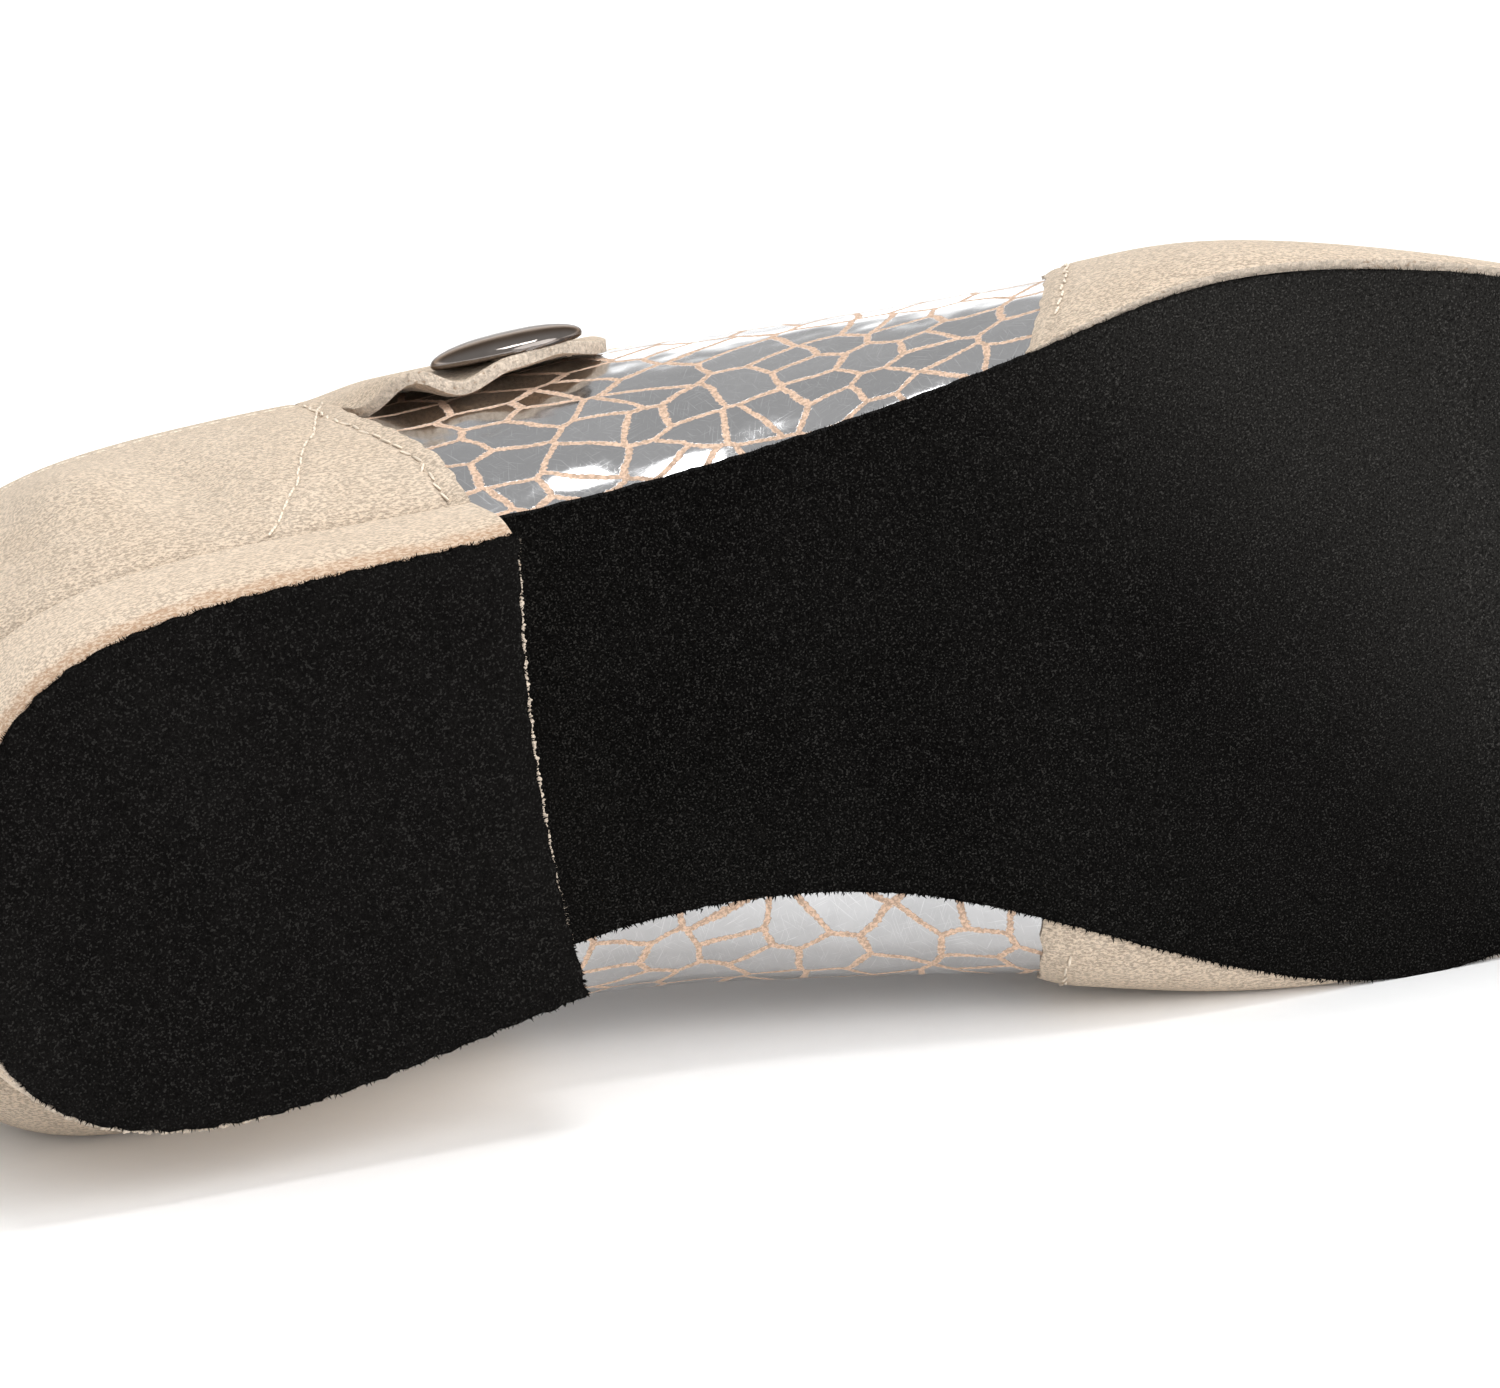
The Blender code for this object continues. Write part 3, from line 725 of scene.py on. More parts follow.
def close_ends():
    """Fills the open ends of the active tube, and turns all its faces outwards."""
    merge_corners()
    bpy.ops.object.mode_set(mode="EDIT")
    bpy.ops.mesh.select_all(action="DESELECT")
    bpy.ops.mesh.select_mode(type="EDGE")
    bpy.ops.mesh.select_non_manifold()
    bpy.ops.mesh.edge_face_add()
    bpy.ops.mesh.select_all(action="SELECT")
    bpy.ops.mesh.normals_make_consistent(inside=False)
    bpy.ops.object.mode_set(mode="OBJECT")


def apply_modifier(piece, modifier):
    """Makes a modifier part of the mesh."""
    bpy.context.view_layer.objects.active = piece
    bpy.ops.object.modifier_apply(modifier=modifier.name)


def thicken(piece, thickness, offset, back_slot=0, rim_slot=0, even=True):
    """Gives an open surface a wall in mm. Offset 1 grows outwards and -1 inwards."""
    wall = piece.modifiers.new("wall", "SOLIDIFY")
    wall.thickness = thickness * MM
    wall.offset = offset
    wall.use_even_offset = even
    wall.material_offset = back_slot
    wall.material_offset_rim = rim_slot
    apply_modifier(piece, wall)


def round_edges(piece, width, segments=3, angle=50.0):
    """Rounds the edges that are sharper than an angle in degrees, by a width in mm."""
    rounding = piece.modifiers.new("rounding", "BEVEL")
    rounding.width = width * MM
    rounding.segments = segments
    rounding.limit_method = "ANGLE"
    rounding.angle_limit = math.radians(angle)
    apply_modifier(piece, rounding)


def paint(piece, *materials):
    """Gives a piece its materials, in the order of its slots."""
    piece.data.materials.clear()
    for material in materials:
        piece.data.materials.append(material)


def settle(piece, slot, *nodes):
    """Shades a piece, and ties it to the frame in place of the solids that it stands for."""
    bpy.ops.object.select_all(action="DESELECT")
    piece.select_set(True)
    bpy.context.view_layer.objects.active = piece
    bpy.ops.object.shade_smooth_by_angle(angle=math.radians(SMOOTH_ANGLE))
    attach(piece, "root")
    if nodes:
        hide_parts(*nodes)


def dress(piece, material, slot):
    """Paints and settles a piece that stands for no solid."""
    paint(piece, material)
    settle(piece, slot)


def taken_apart(piece):
    """The corners and faces of a model piece, which is then removed."""
    corners = np.array([corner.co for corner in piece.data.vertices])
    faces = [tuple(face.vertices) for face in piece.data.polygons]
    mesh = piece.data
    bpy.data.objects.remove(piece)
    bpy.data.meshes.remove(mesh)
    return corners, faces


def joined_copies(name, model, places, axes):
    """One piece made of a copy of the model at each place, with its x, y and z along three axes."""
    corners, faces = model
    copies = np.einsum("vk,nkc->nvc", corners, axes) + places[:, None, :]
    count = len(corners)
    all_faces = [[index + count * i for index in face] for i in range(len(places)) for face in faces]
    mesh = bpy.data.meshes.new(name)
    mesh.from_pydata(copies.reshape(-1, 3), [], all_faces)
    piece = bpy.data.objects.new(name, mesh)
    bpy.context.scene.collection.objects.link(piece)
    return piece


def stitch_model(length):
    """One stitch along X: a thread that bulges in the middle and dives at both ends."""
    bpy.ops.object.select_all(action="DESELECT")
    bpy.ops.mesh.primitive_uv_sphere_add(segments=8, ring_count=8, radius=1.0)
    piece = bpy.context.object
    corners, faces = taken_apart(piece)
    corners = corners[:, [2, 0, 1]]
    full = np.sqrt(np.clip(1.0 - corners[:, 0] ** 4, 0.0, 1.0))
    thin = np.sqrt(np.clip(1.0 - corners[:, 0] ** 2, 1e-6, 1.0))
    swell = column(full / thin) * np.array([0.0, 1.0, 1.0]) + np.array([1.0, 0.0, 0.0])
    sizes = np.array([length / 2.0, STITCH_RADIUS, STITCH_RADIUS]) * MM
    return corners * swell * sizes, faces


def fibre_model(length, radius):
    """One loose fibre along Z: a thin spike."""
    bpy.ops.object.select_all(action="DESELECT")
    middle = (0.0, 0.0, length * MM / 2.0)
    bpy.ops.mesh.primitive_cone_add(
        vertices=3, radius1=radius * MM, radius2=0.0, depth=length * MM, location=middle
    )
    bpy.ops.object.transform_apply(location=True, rotation=True, scale=True)
    return taken_apart(bpy.context.object)


def values_at(stops, lengths, values):
    """Rows of values at stops along a line, where each row is known at a length."""
    return np.stack([np.interp(stops, lengths, row) for row in values.T], axis=1)


def spaced(points, others, pitch):
    """Points every pitch along a line, with the values of others there, and the line's directions."""
    lengths = walked(points)
    stops = np.arange(pitch / 2.0, lengths[-1], pitch)
    step = 0.1
    along = values_at(stops, lengths, points)
    beside = values_at(stops, lengths, others)
    ahead = values_at(stops + step, lengths, points)
    behind = values_at(stops - step, lengths, points)
    return along, unit(beside), unit(ahead - behind)


def stitch_rows(name, rows, length, pitch):
    """A piece with the stitches of several rows, each a line of points and their outward directions."""
    places = []
    axes = []
    for points, outward in rows:
        spots, up, along = spaced(points, outward, pitch)
        across = unit(np.cross(up, along))
        places.append(placed(spots + up * STITCH_RISE))
        axes.append(np.stack([turned(along), turned(across), turned(np.cross(along, across))], axis=1))
    return joined_copies(name, stitch_model(length), np.concatenate(places), np.concatenate(axes))


def edge_fibres(name, edges, length, pitch, seed, radius=FIBRE_RADIUS):
    """A piece with loose fibres along edges, each a line of points and their outward directions."""
    rng = np.random.default_rng(seed)
    places = []
    axes = []
    for points, outward in edges:
        spots, out, along = spaced(points, outward, pitch)
        count = len(spots)
        lean_along = rng.normal(0.0, FIBRE_LEAN_ALONG, (count, 1)) * along
        lean_aside = rng.normal(0.0, FIBRE_LEAN_ASIDE, (count, 1)) * np.cross(out, along)
        way = unit(out + (lean_along + lean_aside))
        aside = unit(np.cross(way, along))
        stretch = rng.uniform(FIBRE_SHORTEST, 1.0, (count, 1)) ** 1.5
        slip = along * rng.uniform(-pitch, pitch, (count, 1)) - out * FIBRE_ROOT
        roots = placed(spots + slip)
        stands = turned(way * stretch)
        clear = (roots + stands * length * MM)[:, 2] > radius * MM
        places.append(roots[clear])
        axes.append(np.stack([turned(aside), turned(np.cross(way, aside)), stands], axis=1)[clear])
    return joined_copies(name, fibre_model(length, radius), np.concatenate(places), np.concatenate(axes))


# Materials


def set_sockets(tree, node, sockets):
    """Sets a node's sockets, each to a number, a colour or another node's output."""
    for name, value in sockets.items():
        if isinstance(value, bpy.types.NodeSocket):
            tree.links.new(value, node.inputs[name])
        else:
            node.inputs[name].default_value = value


def add_node(tree, kind, settings=None, sockets=None):
    """A new node with its settings and sockets."""
    node = tree.nodes.new(kind)
    for name, value in (settings or {}).items():
        setattr(node, name, value)
    set_sockets(tree, node, sockets or {})
    return node


def new_material(name):
    """A material with one Principled shader: the material, its tree and the shader."""
    material = bpy.data.materials.new(name)
    material.use_nodes = True
    return material, material.node_tree, material.node_tree.nodes["Principled BSDF"]


def place_on(tree, kind, scale=(1.0, 1.0, 1.0), turn=0.0):
    """Object or UV coordinates, turned about Z by an angle in degrees and scaled."""
    where = add_node(tree, "ShaderNodeTexCoord").outputs[kind]
    sockets = {"Vector": where, "Rotation": (0.0, 0.0, math.radians(turn)), "Scale": scale}
    return add_node(tree, "ShaderNodeMapping", None, sockets).outputs["Vector"]


def noise(tree, where, size, detail=3.0, roughness=0.5, distortion=0.0):
    """Cloudy noise with bumps of about that size in metres."""
    sockets = {
        "Vector": where, "Scale": 1.0 / size, "Detail": detail, "Roughness": roughness,
        "Distortion": distortion,
    }
    return add_node(tree, "ShaderNodeTexNoise", None, sockets).outputs["Fac"]


def span(tree, value, low, high, to_low=0.0, to_high=1.0):
    """A value between low and high, as one between to_low and to_high, with soft ends."""
    sockets = {"Value": value, "From Min": low, "From Max": high, "To Min": to_low, "To Max": to_high}
    settings = {"interpolation_type": "SMOOTHSTEP"}
    return add_node(tree, "ShaderNodeMapRange", settings, sockets).outputs["Result"]


def maths(tree, operation, a, b):
    """The sum, product or other result of two values."""
    return add_node(tree, "ShaderNodeMath", {"operation": operation}, {0: a, 1: b}).outputs["Value"]


def weighed(tree, a, a_share, b, b_share):
    """Two values added up, each times its share."""
    return maths(tree, "ADD", maths(tree, "MULTIPLY", a, a_share), maths(tree, "MULTIPLY", b, b_share))


def blended(tree, share, a, b):
    """The colour a share of the way from a to b."""
    sockets = {"Factor": share, 6: a, 7: b}
    return add_node(tree, "ShaderNodeMix", {"data_type": "RGBA"}, sockets).outputs[2]


def bump(tree, shader, height, distance, strength=1.0):
    """Raises the shader's surface by a height from 0 to 1, times a distance in metres."""
    sockets = {"Height": height, "Distance": distance, "Strength": strength}
    node = add_node(tree, "ShaderNodeBump", None, sockets)
    tree.links.new(node.outputs["Normal"], shader.inputs["Normal"])


def darker(colour, share):
    """A colour scaled towards black."""
    return tuple(channel * share for channel in colour[:3]) + (1.0,)


def suede_material(name, colour, shade, grain, depth, rubbed=None, tread=0.0):
    """Suede: brushed patches and a fine nap. The rubbed colour beside the tread is wear and painted shade.
    """
    material, tree, shader = new_material(name)
    where = place_on(tree, "Object")
    brushed = noise(tree, where, 0.024, 3.0, 0.5, 0.6)
    patches = noise(tree, where, 0.005, 4.0, 0.6, 0.4)
    nap = noise(tree, place_on(tree, "Object", (0.55, 1.05, 1.2)), grain, 3.0, 0.6, 0.3)
    pits = noise(tree, where, grain * 2.2, 2.0, 0.5)
    soft = weighed(tree, brushed, 0.6, patches, 0.4)
    base = blended(tree, span(tree, soft, 0.36, 0.62), shade, colour)
    pitted = blended(tree, span(tree, pits, 0.30, 0.52, 0.6, 0.0), base, darker(shade, 0.75))
    light = blended(tree, span(tree, nap, 0.40, 0.60), darker(colour, 0.48), darker(colour, 1.36))
    napped = blended(tree, 0.62, pitted, light)
    # Beside the tread the band of rubbed colour is wear and painted shade where the cover turns under
    if rubbed:
        depth_in = add_node(tree, "ShaderNodeSeparateXYZ", None, {"Vector": where}).outputs["Y"]
        worn = noise(tree, where, 0.0045, 6.0, 0.8)
        near = span(tree, depth_in, tread + 0.0064, tread + 0.0026)
        reach = maths(tree, "ADD", near, maths(tree, "MULTIPLY", worn, 1.4))
        grainy = span(tree, nap, 0.36, 0.62, 1.0, 0.35)
        share = maths(tree, "MULTIPLY", span(tree, reach, 1.12, 1.62), grainy)
        napped = blended(tree, share, napped, rubbed)
    set_sockets(tree, shader, {
        "Base Color": napped, "Roughness": 0.92, "Specular IOR Level": 0.2,
        "Sheen Weight": 0.5, "Sheen Tint": (1.0, 0.87, 0.72, 1.0), "Sheen Roughness": 0.5,
    })
    bump(tree, shader, weighed(tree, nap, 0.6, pits, 0.4), depth)
    return material


def black_suede_material(name, colours, grain, fibre_share, ground):
    """Black suede: deep nap with many fine lighter fibres."""
    material, tree, shader = new_material(name)
    where = place_on(tree, "Object")
    nap = noise(tree, where, grain, 3.0, 0.7)
    clumps = noise(tree, where, grain * 4.0, 3.0, 0.6, 0.3)
    brushed = noise(tree, where, 0.03, 3.0, 0.5)
    specks = noise(tree, where, grain * 0.7, 1.0, 0.4)
    deep = darker(colours.black, 0.8 * ground)
    base = blended(tree, span(tree, clumps, 0.30, 0.72), deep, darker(colours.black, 1.25 * ground))
    parts = add_node(tree, "ShaderNodeSeparateXYZ", None, {"Vector": where}).outputs
    slanted = maths(tree, "ADD", parts["X"], maths(tree, "SUBTRACT", parts["Z"], 0.045))
    toward_toe = span(tree, slanted, 0.01, 0.07, 0.0, 0.95)
    paler = maths(tree, "ADD", span(tree, brushed, 0.35, 0.65, 0.0, 0.10), toward_toe)
    brushed_up = maths(tree, "MULTIPLY", paler, span(tree, nap, 0.34, 0.66, 0.35, 1.3))
    soft = blended(tree, brushed_up, base, darker(colours.fibre, 0.4))
    lit = span(tree, nap, 0.46, 0.72, 0.0, 0.5 * fibre_share)
    napped = blended(tree, lit, soft, darker(colours.fibre, 0.45))
    fleck = blended(tree, toward_toe, tuple(colours.fibre), darker(colours.fibre, 1.8))
    flecked = blended(tree, span(tree, specks, 0.55, 0.74, 0.0, fibre_share), napped, fleck)
    set_sockets(tree, shader, {"Base Color": flecked, "Roughness": 0.95, "Specular IOR Level": 0.02})
    bump(tree, shader, weighed(tree, nap, 0.75, clumps, 0.25), 0.0005)
    return material


def dyed_edge_material(name, colours):
    """The black dyed edge of the sole: packed fibre with a slight shine."""
    material, tree, shader = new_material(name)
    where = place_on(tree, "Object")
    fibre = noise(tree, where, 0.0006, 4.0, 0.7)
    layers = noise(tree, place_on(tree, "Object", (1.0, 6.0, 1.0)), 0.004, 3.0, 0.6)
    packed = weighed(tree, fibre, 0.6, layers, 0.4)
    light = span(tree, packed, 0.35, 0.7)
    dyed = blended(tree, light, darker(colours.black, 0.5), darker(colours.fibre, 0.12))
    matt = span(tree, packed, 0.3, 0.7, 0.8, 0.95)
    set_sockets(tree, shader, {"Base Color": dyed, "Roughness": matt, "Specular IOR Level": 0.1})
    bump(tree, shader, packed, 0.0004)
    return material


def flat_noise(tree, where, scale):
    """Noise on a flat map: its node's outputs."""
    sockets = {"Vector": where, "Scale": scale, "Detail": 1.0}
    return add_node(tree, "ShaderNodeTexNoise", {"noise_dimensions": "2D"}, sockets).outputs


def flat_cells(tree, where, feature, size):
    """Cells of about that size on a flat map: their node's outputs."""
    settings = {"feature": feature, "voronoi_dimensions": "2D"}
    sockets = {"Vector": where, "Scale": 1.0 / size, "Randomness": 0.95}
    return add_node(tree, "ShaderNodeTexVoronoi", settings, sockets).outputs


def foil_material(name, colours, sizes):
    """Crackle foil: mirror cells with fine scratches, and bare leather lines between them."""
    material, tree, shader = new_material(name)
    flat = place_on(tree, "UV", (0.90, 1.15, 1.0), 14.0)
    bent = flat
    for scale, reach in ((150.0, 0.0016), (2400.0, 0.00045)):
        shaken = flat_noise(tree, flat, scale)["Color"]
        sockets = {0: shaken, 1: (reach, reach, 0.0), 2: bent}
        moved = add_node(tree, "ShaderNodeVectorMath", {"operation": "MULTIPLY_ADD"}, sockets)
        bent = moved.outputs["Vector"]
    cells = flat_cells(tree, bent, "DISTANCE_TO_EDGE", sizes.crackle_cell)["Distance"]
    tones = flat_cells(tree, bent, "F1", sizes.crackle_cell)["Color"]
    tone = add_node(tree, "ShaderNodeSeparateColor", None, {"Color": tones}).outputs[0]
    half = sizes.crackle_line / sizes.crackle_cell / 2.0
    foil = span(tree, cells, half * 0.85, half * 1.15)
    where = place_on(tree, "Object")
    waves = noise(tree, where, 0.013, 2.0, 0.45)
    dust = noise(tree, where, 0.0022, 5.0, 0.7)
    marks = None
    for turn, shift in ((20.0, 0.0), (-38.0, 3.1), (71.0, 7.7), (-74.0, 5.3)):
        sockets = {
            "Vector": add_node(tree, "ShaderNodeTexCoord").outputs["UV"], "Location": (shift, shift, 0.0),
            "Rotation": (0.0, 0.0, math.radians(turn)), "Scale": (0.005, 0.00013, 1.0),
        }
        line = add_node(tree, "ShaderNodeMapping", {"vector_type": "TEXTURE"}, sockets).outputs["Vector"]
        found = span(tree, flat_noise(tree, line, 1.0)["Fac"], 0.71, 0.78)
        marks = found if marks is None else maths(tree, "MAXIMUM", marks, found)
    grain = noise(tree, where, 0.0004, 4.0, 0.75)
    light = span(tree, grain, 0.4, 0.6)
    leather = blended(tree, light, darker(colours.crack, 0.66), darker(colours.crack, 1.2))
    worn = span(tree, dust, 0.35, 0.75, 0.0, 0.22)
    light = span(tree, tone, 0.0, 1.0)
    plain = blended(tree, light, darker(colours.foil, 0.93), darker(colours.foil, 1.06))
    dusty = blended(tree, worn, plain, darker(colours.foil, 0.7))
    bright = blended(tree, maths(tree, "MULTIPLY", marks, 0.28), dusty, (1.0, 1.0, 1.0, 1.0))
    base = blended(tree, foil, leather, bright)
    hazy = span(tree, dust, 0.4, 0.75, 0.10, 0.2)
    rubbed = maths(tree, "ADD", hazy, maths(tree, "MULTIPLY", marks, 0.08))
    bare = maths(tree, "SUBTRACT", 1.0, foil)
    rough = maths(tree, "MAXIMUM", rubbed, maths(tree, "MULTIPLY", bare, 0.8))
    set_sockets(tree, shader, {"Base Color": base, "Metallic": foil, "Roughness": rough})
    grainy = maths(tree, "MULTIPLY", maths(tree, "MULTIPLY", grain, 0.3), bare)
    wavy = maths(tree, "MULTIPLY", waves, 3.0)
    relief = maths(tree, "ADD", maths(tree, "MULTIPLY", foil, 0.30), maths(tree, "ADD", grainy, wavy))
    bump(tree, shader, relief, 0.0003)
    return material


def leather_material(name, colour, gloss):
    """Smooth leather: fine pebbled grain and faint mottling."""
    material, tree, shader = new_material(name)
    where = place_on(tree, "Object")
    mottle = noise(tree, where, 0.006, 4.0, 0.6)
    sockets = {"Vector": where, "Scale": 1500.0, "Smoothness": 0.4}
    pebbles = add_node(tree, "ShaderNodeTexVoronoi", {"feature": "SMOOTH_F1"}, sockets).outputs["Distance"]
    pores = noise(tree, where, 0.0004, 3.0, 0.6)
    tone = blended(tree, span(tree, mottle, 0.35, 0.65), darker(colour, 0.88), darker(colour, 1.06))
    set_sockets(tree, shader, {
        "Base Color": blended(tree, span(tree, pores, 0.3, 0.42), darker(colour, 0.7), tone),
        "Roughness": span(tree, mottle, 0.3, 0.7, gloss, gloss + 0.15), "Specular IOR Level": 0.35,
    })
    bump(tree, shader, maths(tree, "ADD", pebbles, maths(tree, "MULTIPLY", pores, 0.4)), 0.00012)
    return material


def cut_edge_material(name, colour, speck):
    """Raw cut leather: pale packed fibres with darker specks between them."""
    material, tree, shader = new_material(name)
    where = place_on(tree, "Object")
    fibres = noise(tree, where, 0.0005, 4.0, 0.75, 0.6)
    specks = noise(tree, where, 0.0008, 2.0, 0.6)
    tone = blended(tree, span(tree, fibres, 0.32, 0.66), darker(colour, 0.66), darker(colour, 1.12))
    specked = blended(tree, span(tree, specks, 0.60, 0.74, 0.0, 0.7), tone, speck)
    set_sockets(tree, shader, {"Base Color": specked, "Roughness": 0.95, "Specular IOR Level": 0.15})
    bump(tree, shader, fibres, 0.0005)
    return material


def thread_material(name, colours):
    """Sewing thread: twisted strands with a little shine."""
    material, tree, shader = new_material(name)
    where = place_on(tree, "Object", (1.0, 1.0, 1.0), 35.0)
    twist = add_node(
        tree, "ShaderNodeTexWave", {"bands_direction": "DIAGONAL"},
        {"Vector": where, "Scale": 700.0, "Distortion": 1.5, "Detail": 2.0},
    ).outputs["Fac"]
    tone = blended(tree, twist, darker(colours.thread, 0.8), darker(colours.thread, 1.1))
    set_sockets(tree, shader, {"Base Color": tone, "Roughness": 0.6})
    bump(tree, shader, twist, 0.00006)
    return material


def metal_material(name, colours):
    """Polished dark nickel with fine hairlines and faint haze."""
    material, tree, shader = new_material(name)
    hair = noise(tree, place_on(tree, "Object", (1.0, 9.0, 9.0), 25.0), 0.003, 3.0, 0.6)
    haze = noise(tree, place_on(tree, "Object"), 0.004, 3.0, 0.5)
    tone = blended(tree, span(tree, haze, 0.35, 0.7), tuple(colours.metal), darker(colours.metal, 0.86))
    set_sockets(tree, shader, {
        "Base Color": tone, "Metallic": 1.0, "Specular Tint": (0.35, 0.31, 0.28, 1.0),
        "Roughness": span(tree, hair, 0.4, 0.75, 0.07, 0.16),
    })
    bump(tree, shader, hair, 0.00001)
    return material


def material_once(make, name, *values):
    """The material of that name, made if it isn't there yet."""
    return bpy.data.materials.get(name) or make(name, *values)


def sand_suede(context):
    """The beige suede of the panels, cover and strap."""
    look = context.scene.shoe_colours
    sizes = context.scene.shoe_sizes
    values = ("sand_suede_nap", tuple(look.suede), tuple(look.suede_shade), sizes.suede_grain, 0.0006)
    return material_once(suede_material, *values)


def cover_suede(context):
    """The beige suede of the heel cover, brown along its lower edge: rubbed wear and painted shade."""
    look = context.scene.shoe_colours
    sizes = context.scene.shoe_sizes
    tread = placed(np.zeros(3))[1]
    values = (
        "heel_cover_nap", tuple(look.suede), tuple(look.suede_shade), sizes.suede_grain, 0.0003,
        tuple(look.rubbed), tread,
    )
    return material_once(suede_material, *values)


def cut_edge(context):
    """The raw cut edge of the beige suede."""
    look = context.scene.shoe_colours
    values = ("suede_cut_edge", tuple(look.cut_edge), darker(look.underside, 0.8))
    return material_once(cut_edge_material, *values)


def thread(context):
    """The sewing thread."""
    return material_once(thread_material, "cream_thread", context.scene.shoe_colours)


def sole_suede(context):
    """The black suede of the sole."""
    grain = context.scene.shoe_sizes.black_grain
    values = ("black_suede_sole", context.scene.shoe_colours, grain, 0.58, 1.0)
    return material_once(black_suede_material, *values)


def heel_suede(context):
    """The slightly coarser black suede of the heel."""
    grain = context.scene.shoe_sizes.black_grain * 1.1
    values = ("black_suede_heel", context.scene.shoe_colours, grain, 0.42, 1.9)
    return material_once(black_suede_material, *values)


# Pieces


def upper_lengths(around, up):
    """Real lengths round and up the upper, in mm."""
    u = around * RIB_COUNT
    return np.stack([round_length(u), up * rib_length(u)], axis=1)


class DANCESHOE_OT_upper(bpy.types.Operator):
    """Models the hollow crackle-foil upper with its lining and lasting margin."""

    bl_idname = "dance_shoe.upper"
    bl_label = "Upper"

    def execute(self, context):
        look = context.scene.shoe_colours
        margin_share = 1.0 / (UPPER_ROWS + 1)

        def place(around, up):
            u = around * RIB_COUNT
            v = np.clip((up - margin_share) / (1.0 - margin_share), 0.0, 1.0)
            inside = foot_line(u, -LASTING_MARGIN)
            margin_z = seat_height(inside[:, 0]) - drawn_down(foot_line(u)[:, 0])
            return np.where(up[:, None] < margin_share / 2.0, raised(inside, margin_z), wall_point(u, v))

        piece = grid_piece("upper_shell", UPPER_COLUMNS, UPPER_ROWS + 1, place, upper_lengths)
        merge_corners()
        foil = material_once(foil_material, "silver_crackle_foil", look, context.scene.shoe_sizes)
        values = ("lining_leather", tuple(look.lining), 0.5)
        lining = material_once(leather_material, *values)
        paint(piece, foil, lining, cut_edge(context))
        thicken(piece, WALL_THICKNESS, -1.0, 1, 2)
        round_edges(piece, UPPER_ROUNDING)
        settle(piece, "silver_crackle", "upper")
        return {"FINISHED"}


def seam_rib(v):
    """Rib of the slanted seam at heights v."""
    wander = SEAM_WANDER * wobble(v * WALL_TO_WAVE, SEAM_WANDER_REACH, 15)
    return rib_beside(np.interp(v, SEAM_HEIGHTS, SEAM_RIBS), wander)


def trough(distance, depth, width):
    """A soft groove along a line, at distances from it in mm."""
    return -depth * np.exp(-((distance / width) ** 2))


def edge_wave(v, seed):
    """How far a cut edge strays, in mm, at heights v."""
    return CUT_WOBBLE * wobble(v * WALL_TO_WAVE, CUT_REACH, seed)


def leaning(v, lean, heights):
    """How far an edge leans at heights v, in ribs."""
    return lean * np.clip((v - heights[0]) / (heights[1] - heights[0]), 0.0, 1.0)


def quarter_edges(v):
    """Ribs of the inner and outer front edges of the heel panel at heights v."""
    inner = rib_beside(np.full_like(v, QUARTER_RIBS[0]), edge_wave(v, 11))
    lean = leaning(v, QUARTER_LEAN, QUARTER_LEAN_HEIGHTS)
    outer = rib_beside(QUARTER_RIBS[1] + lean, edge_wave(v, 12))
    return inner, outer


def quarter_relief(u, v):
    """Grooves of the heel panel's slanted seams and of its stitch rows, in mm."""
    place = round_length(u)
    relief = np.zeros_like(u)
    for side in (1.0, -1.0):
        relief += trough(place - round_length(side * seam_rib(v)), SEAM_DEPTH, SEAM_WIDTH)
    for edge, inset in zip(quarter_edges(v), (EDGE_STITCH_INSET, -EDGE_STITCH_INSET)):
        relief += trough(place - round_length(edge) - inset, STITCH_TROUGH, STITCH_TROUGH_WIDTH)
    return relief + trough(v * WALL_RISE, FOOT_CREASE, FOOT_CREASE_WIDTH)


def vamp_edges(v):
    """Ribs of the outer and inner rear edges of the toe panel at heights v."""
    lean = leaning(v, VAMP_LEAN, VAMP_LEAN_HEIGHTS)
    low, high = VAMP_CORNER_HEIGHTS
    corner = VAMP_CORNER * smooth_step((v - low) / (high - low))
    outer = rib_beside(VAMP_RIBS[0] + lean, edge_wave(v, 13) + corner)
    inner = rib_beside(np.full_like(v, VAMP_RIBS[1]), edge_wave(v, 14))
    return outer, inner


def vamp_relief(u, v):
    """Grooves of the toe panel's stitch rows and its thinned rear edges, in mm."""
    place = round_length(u)
    relief = np.zeros_like(u)
    for edge, inset in zip(vamp_edges(v), (EDGE_STITCH_INSET, -EDGE_STITCH_INSET)):
        relief += trough(place - round_length(edge), VAMP_SKIVE, VAMP_SKIVE_WIDTH)
        relief += trough(place - round_length(edge) - inset, STITCH_TROUGH, STITCH_TROUGH_WIDTH)
    return relief


def suede_panel(context, name, node, columns, edges, relief):
    """A suede panel on the upper, between two edges, from the sole to the collar."""

    def place(around, up):
        v = mix(PANEL_FOOT, 1.0, up)
        first, last = edges(v)
        u = mix(first, last, around)
        return wall_point(u, v, PANEL_SEAT + relief(u, v))

    piece = grid_piece(name, columns, PANEL_ROWS, place)
    paint(piece, sand_suede(context), cut_edge(context))
    thicken(piece, PANEL_FACE - PANEL_SEAT, 1.0, 0, 1)
    round_edges(piece, PANEL_ROUNDING)
    settle(piece, "sand_suede", node)


class DANCESHOE_OT_quarter(bpy.types.Operator):
    """Models the suede heel panel with its slanted seams."""

    bl_idname = "dance_shoe.quarter"
    bl_label = "Heel panel"

    def execute(self, context):
        suede_panel(context, "heel_panel", "quarter", QUARTER_COLUMNS, quarter_edges, quarter_relief)
        return {"FINISHED"}


class DANCESHOE_OT_vamp(bpy.types.Operator):
    """Models the suede toe panel."""

    bl_idname = "dance_shoe.vamp"
    bl_label = "Toe panel"

    def execute(self, context):
        suede_panel(context, "toe_panel", "vamp", VAMP_COLUMNS, vamp_edges, vamp_relief)
        return {"FINISHED"}


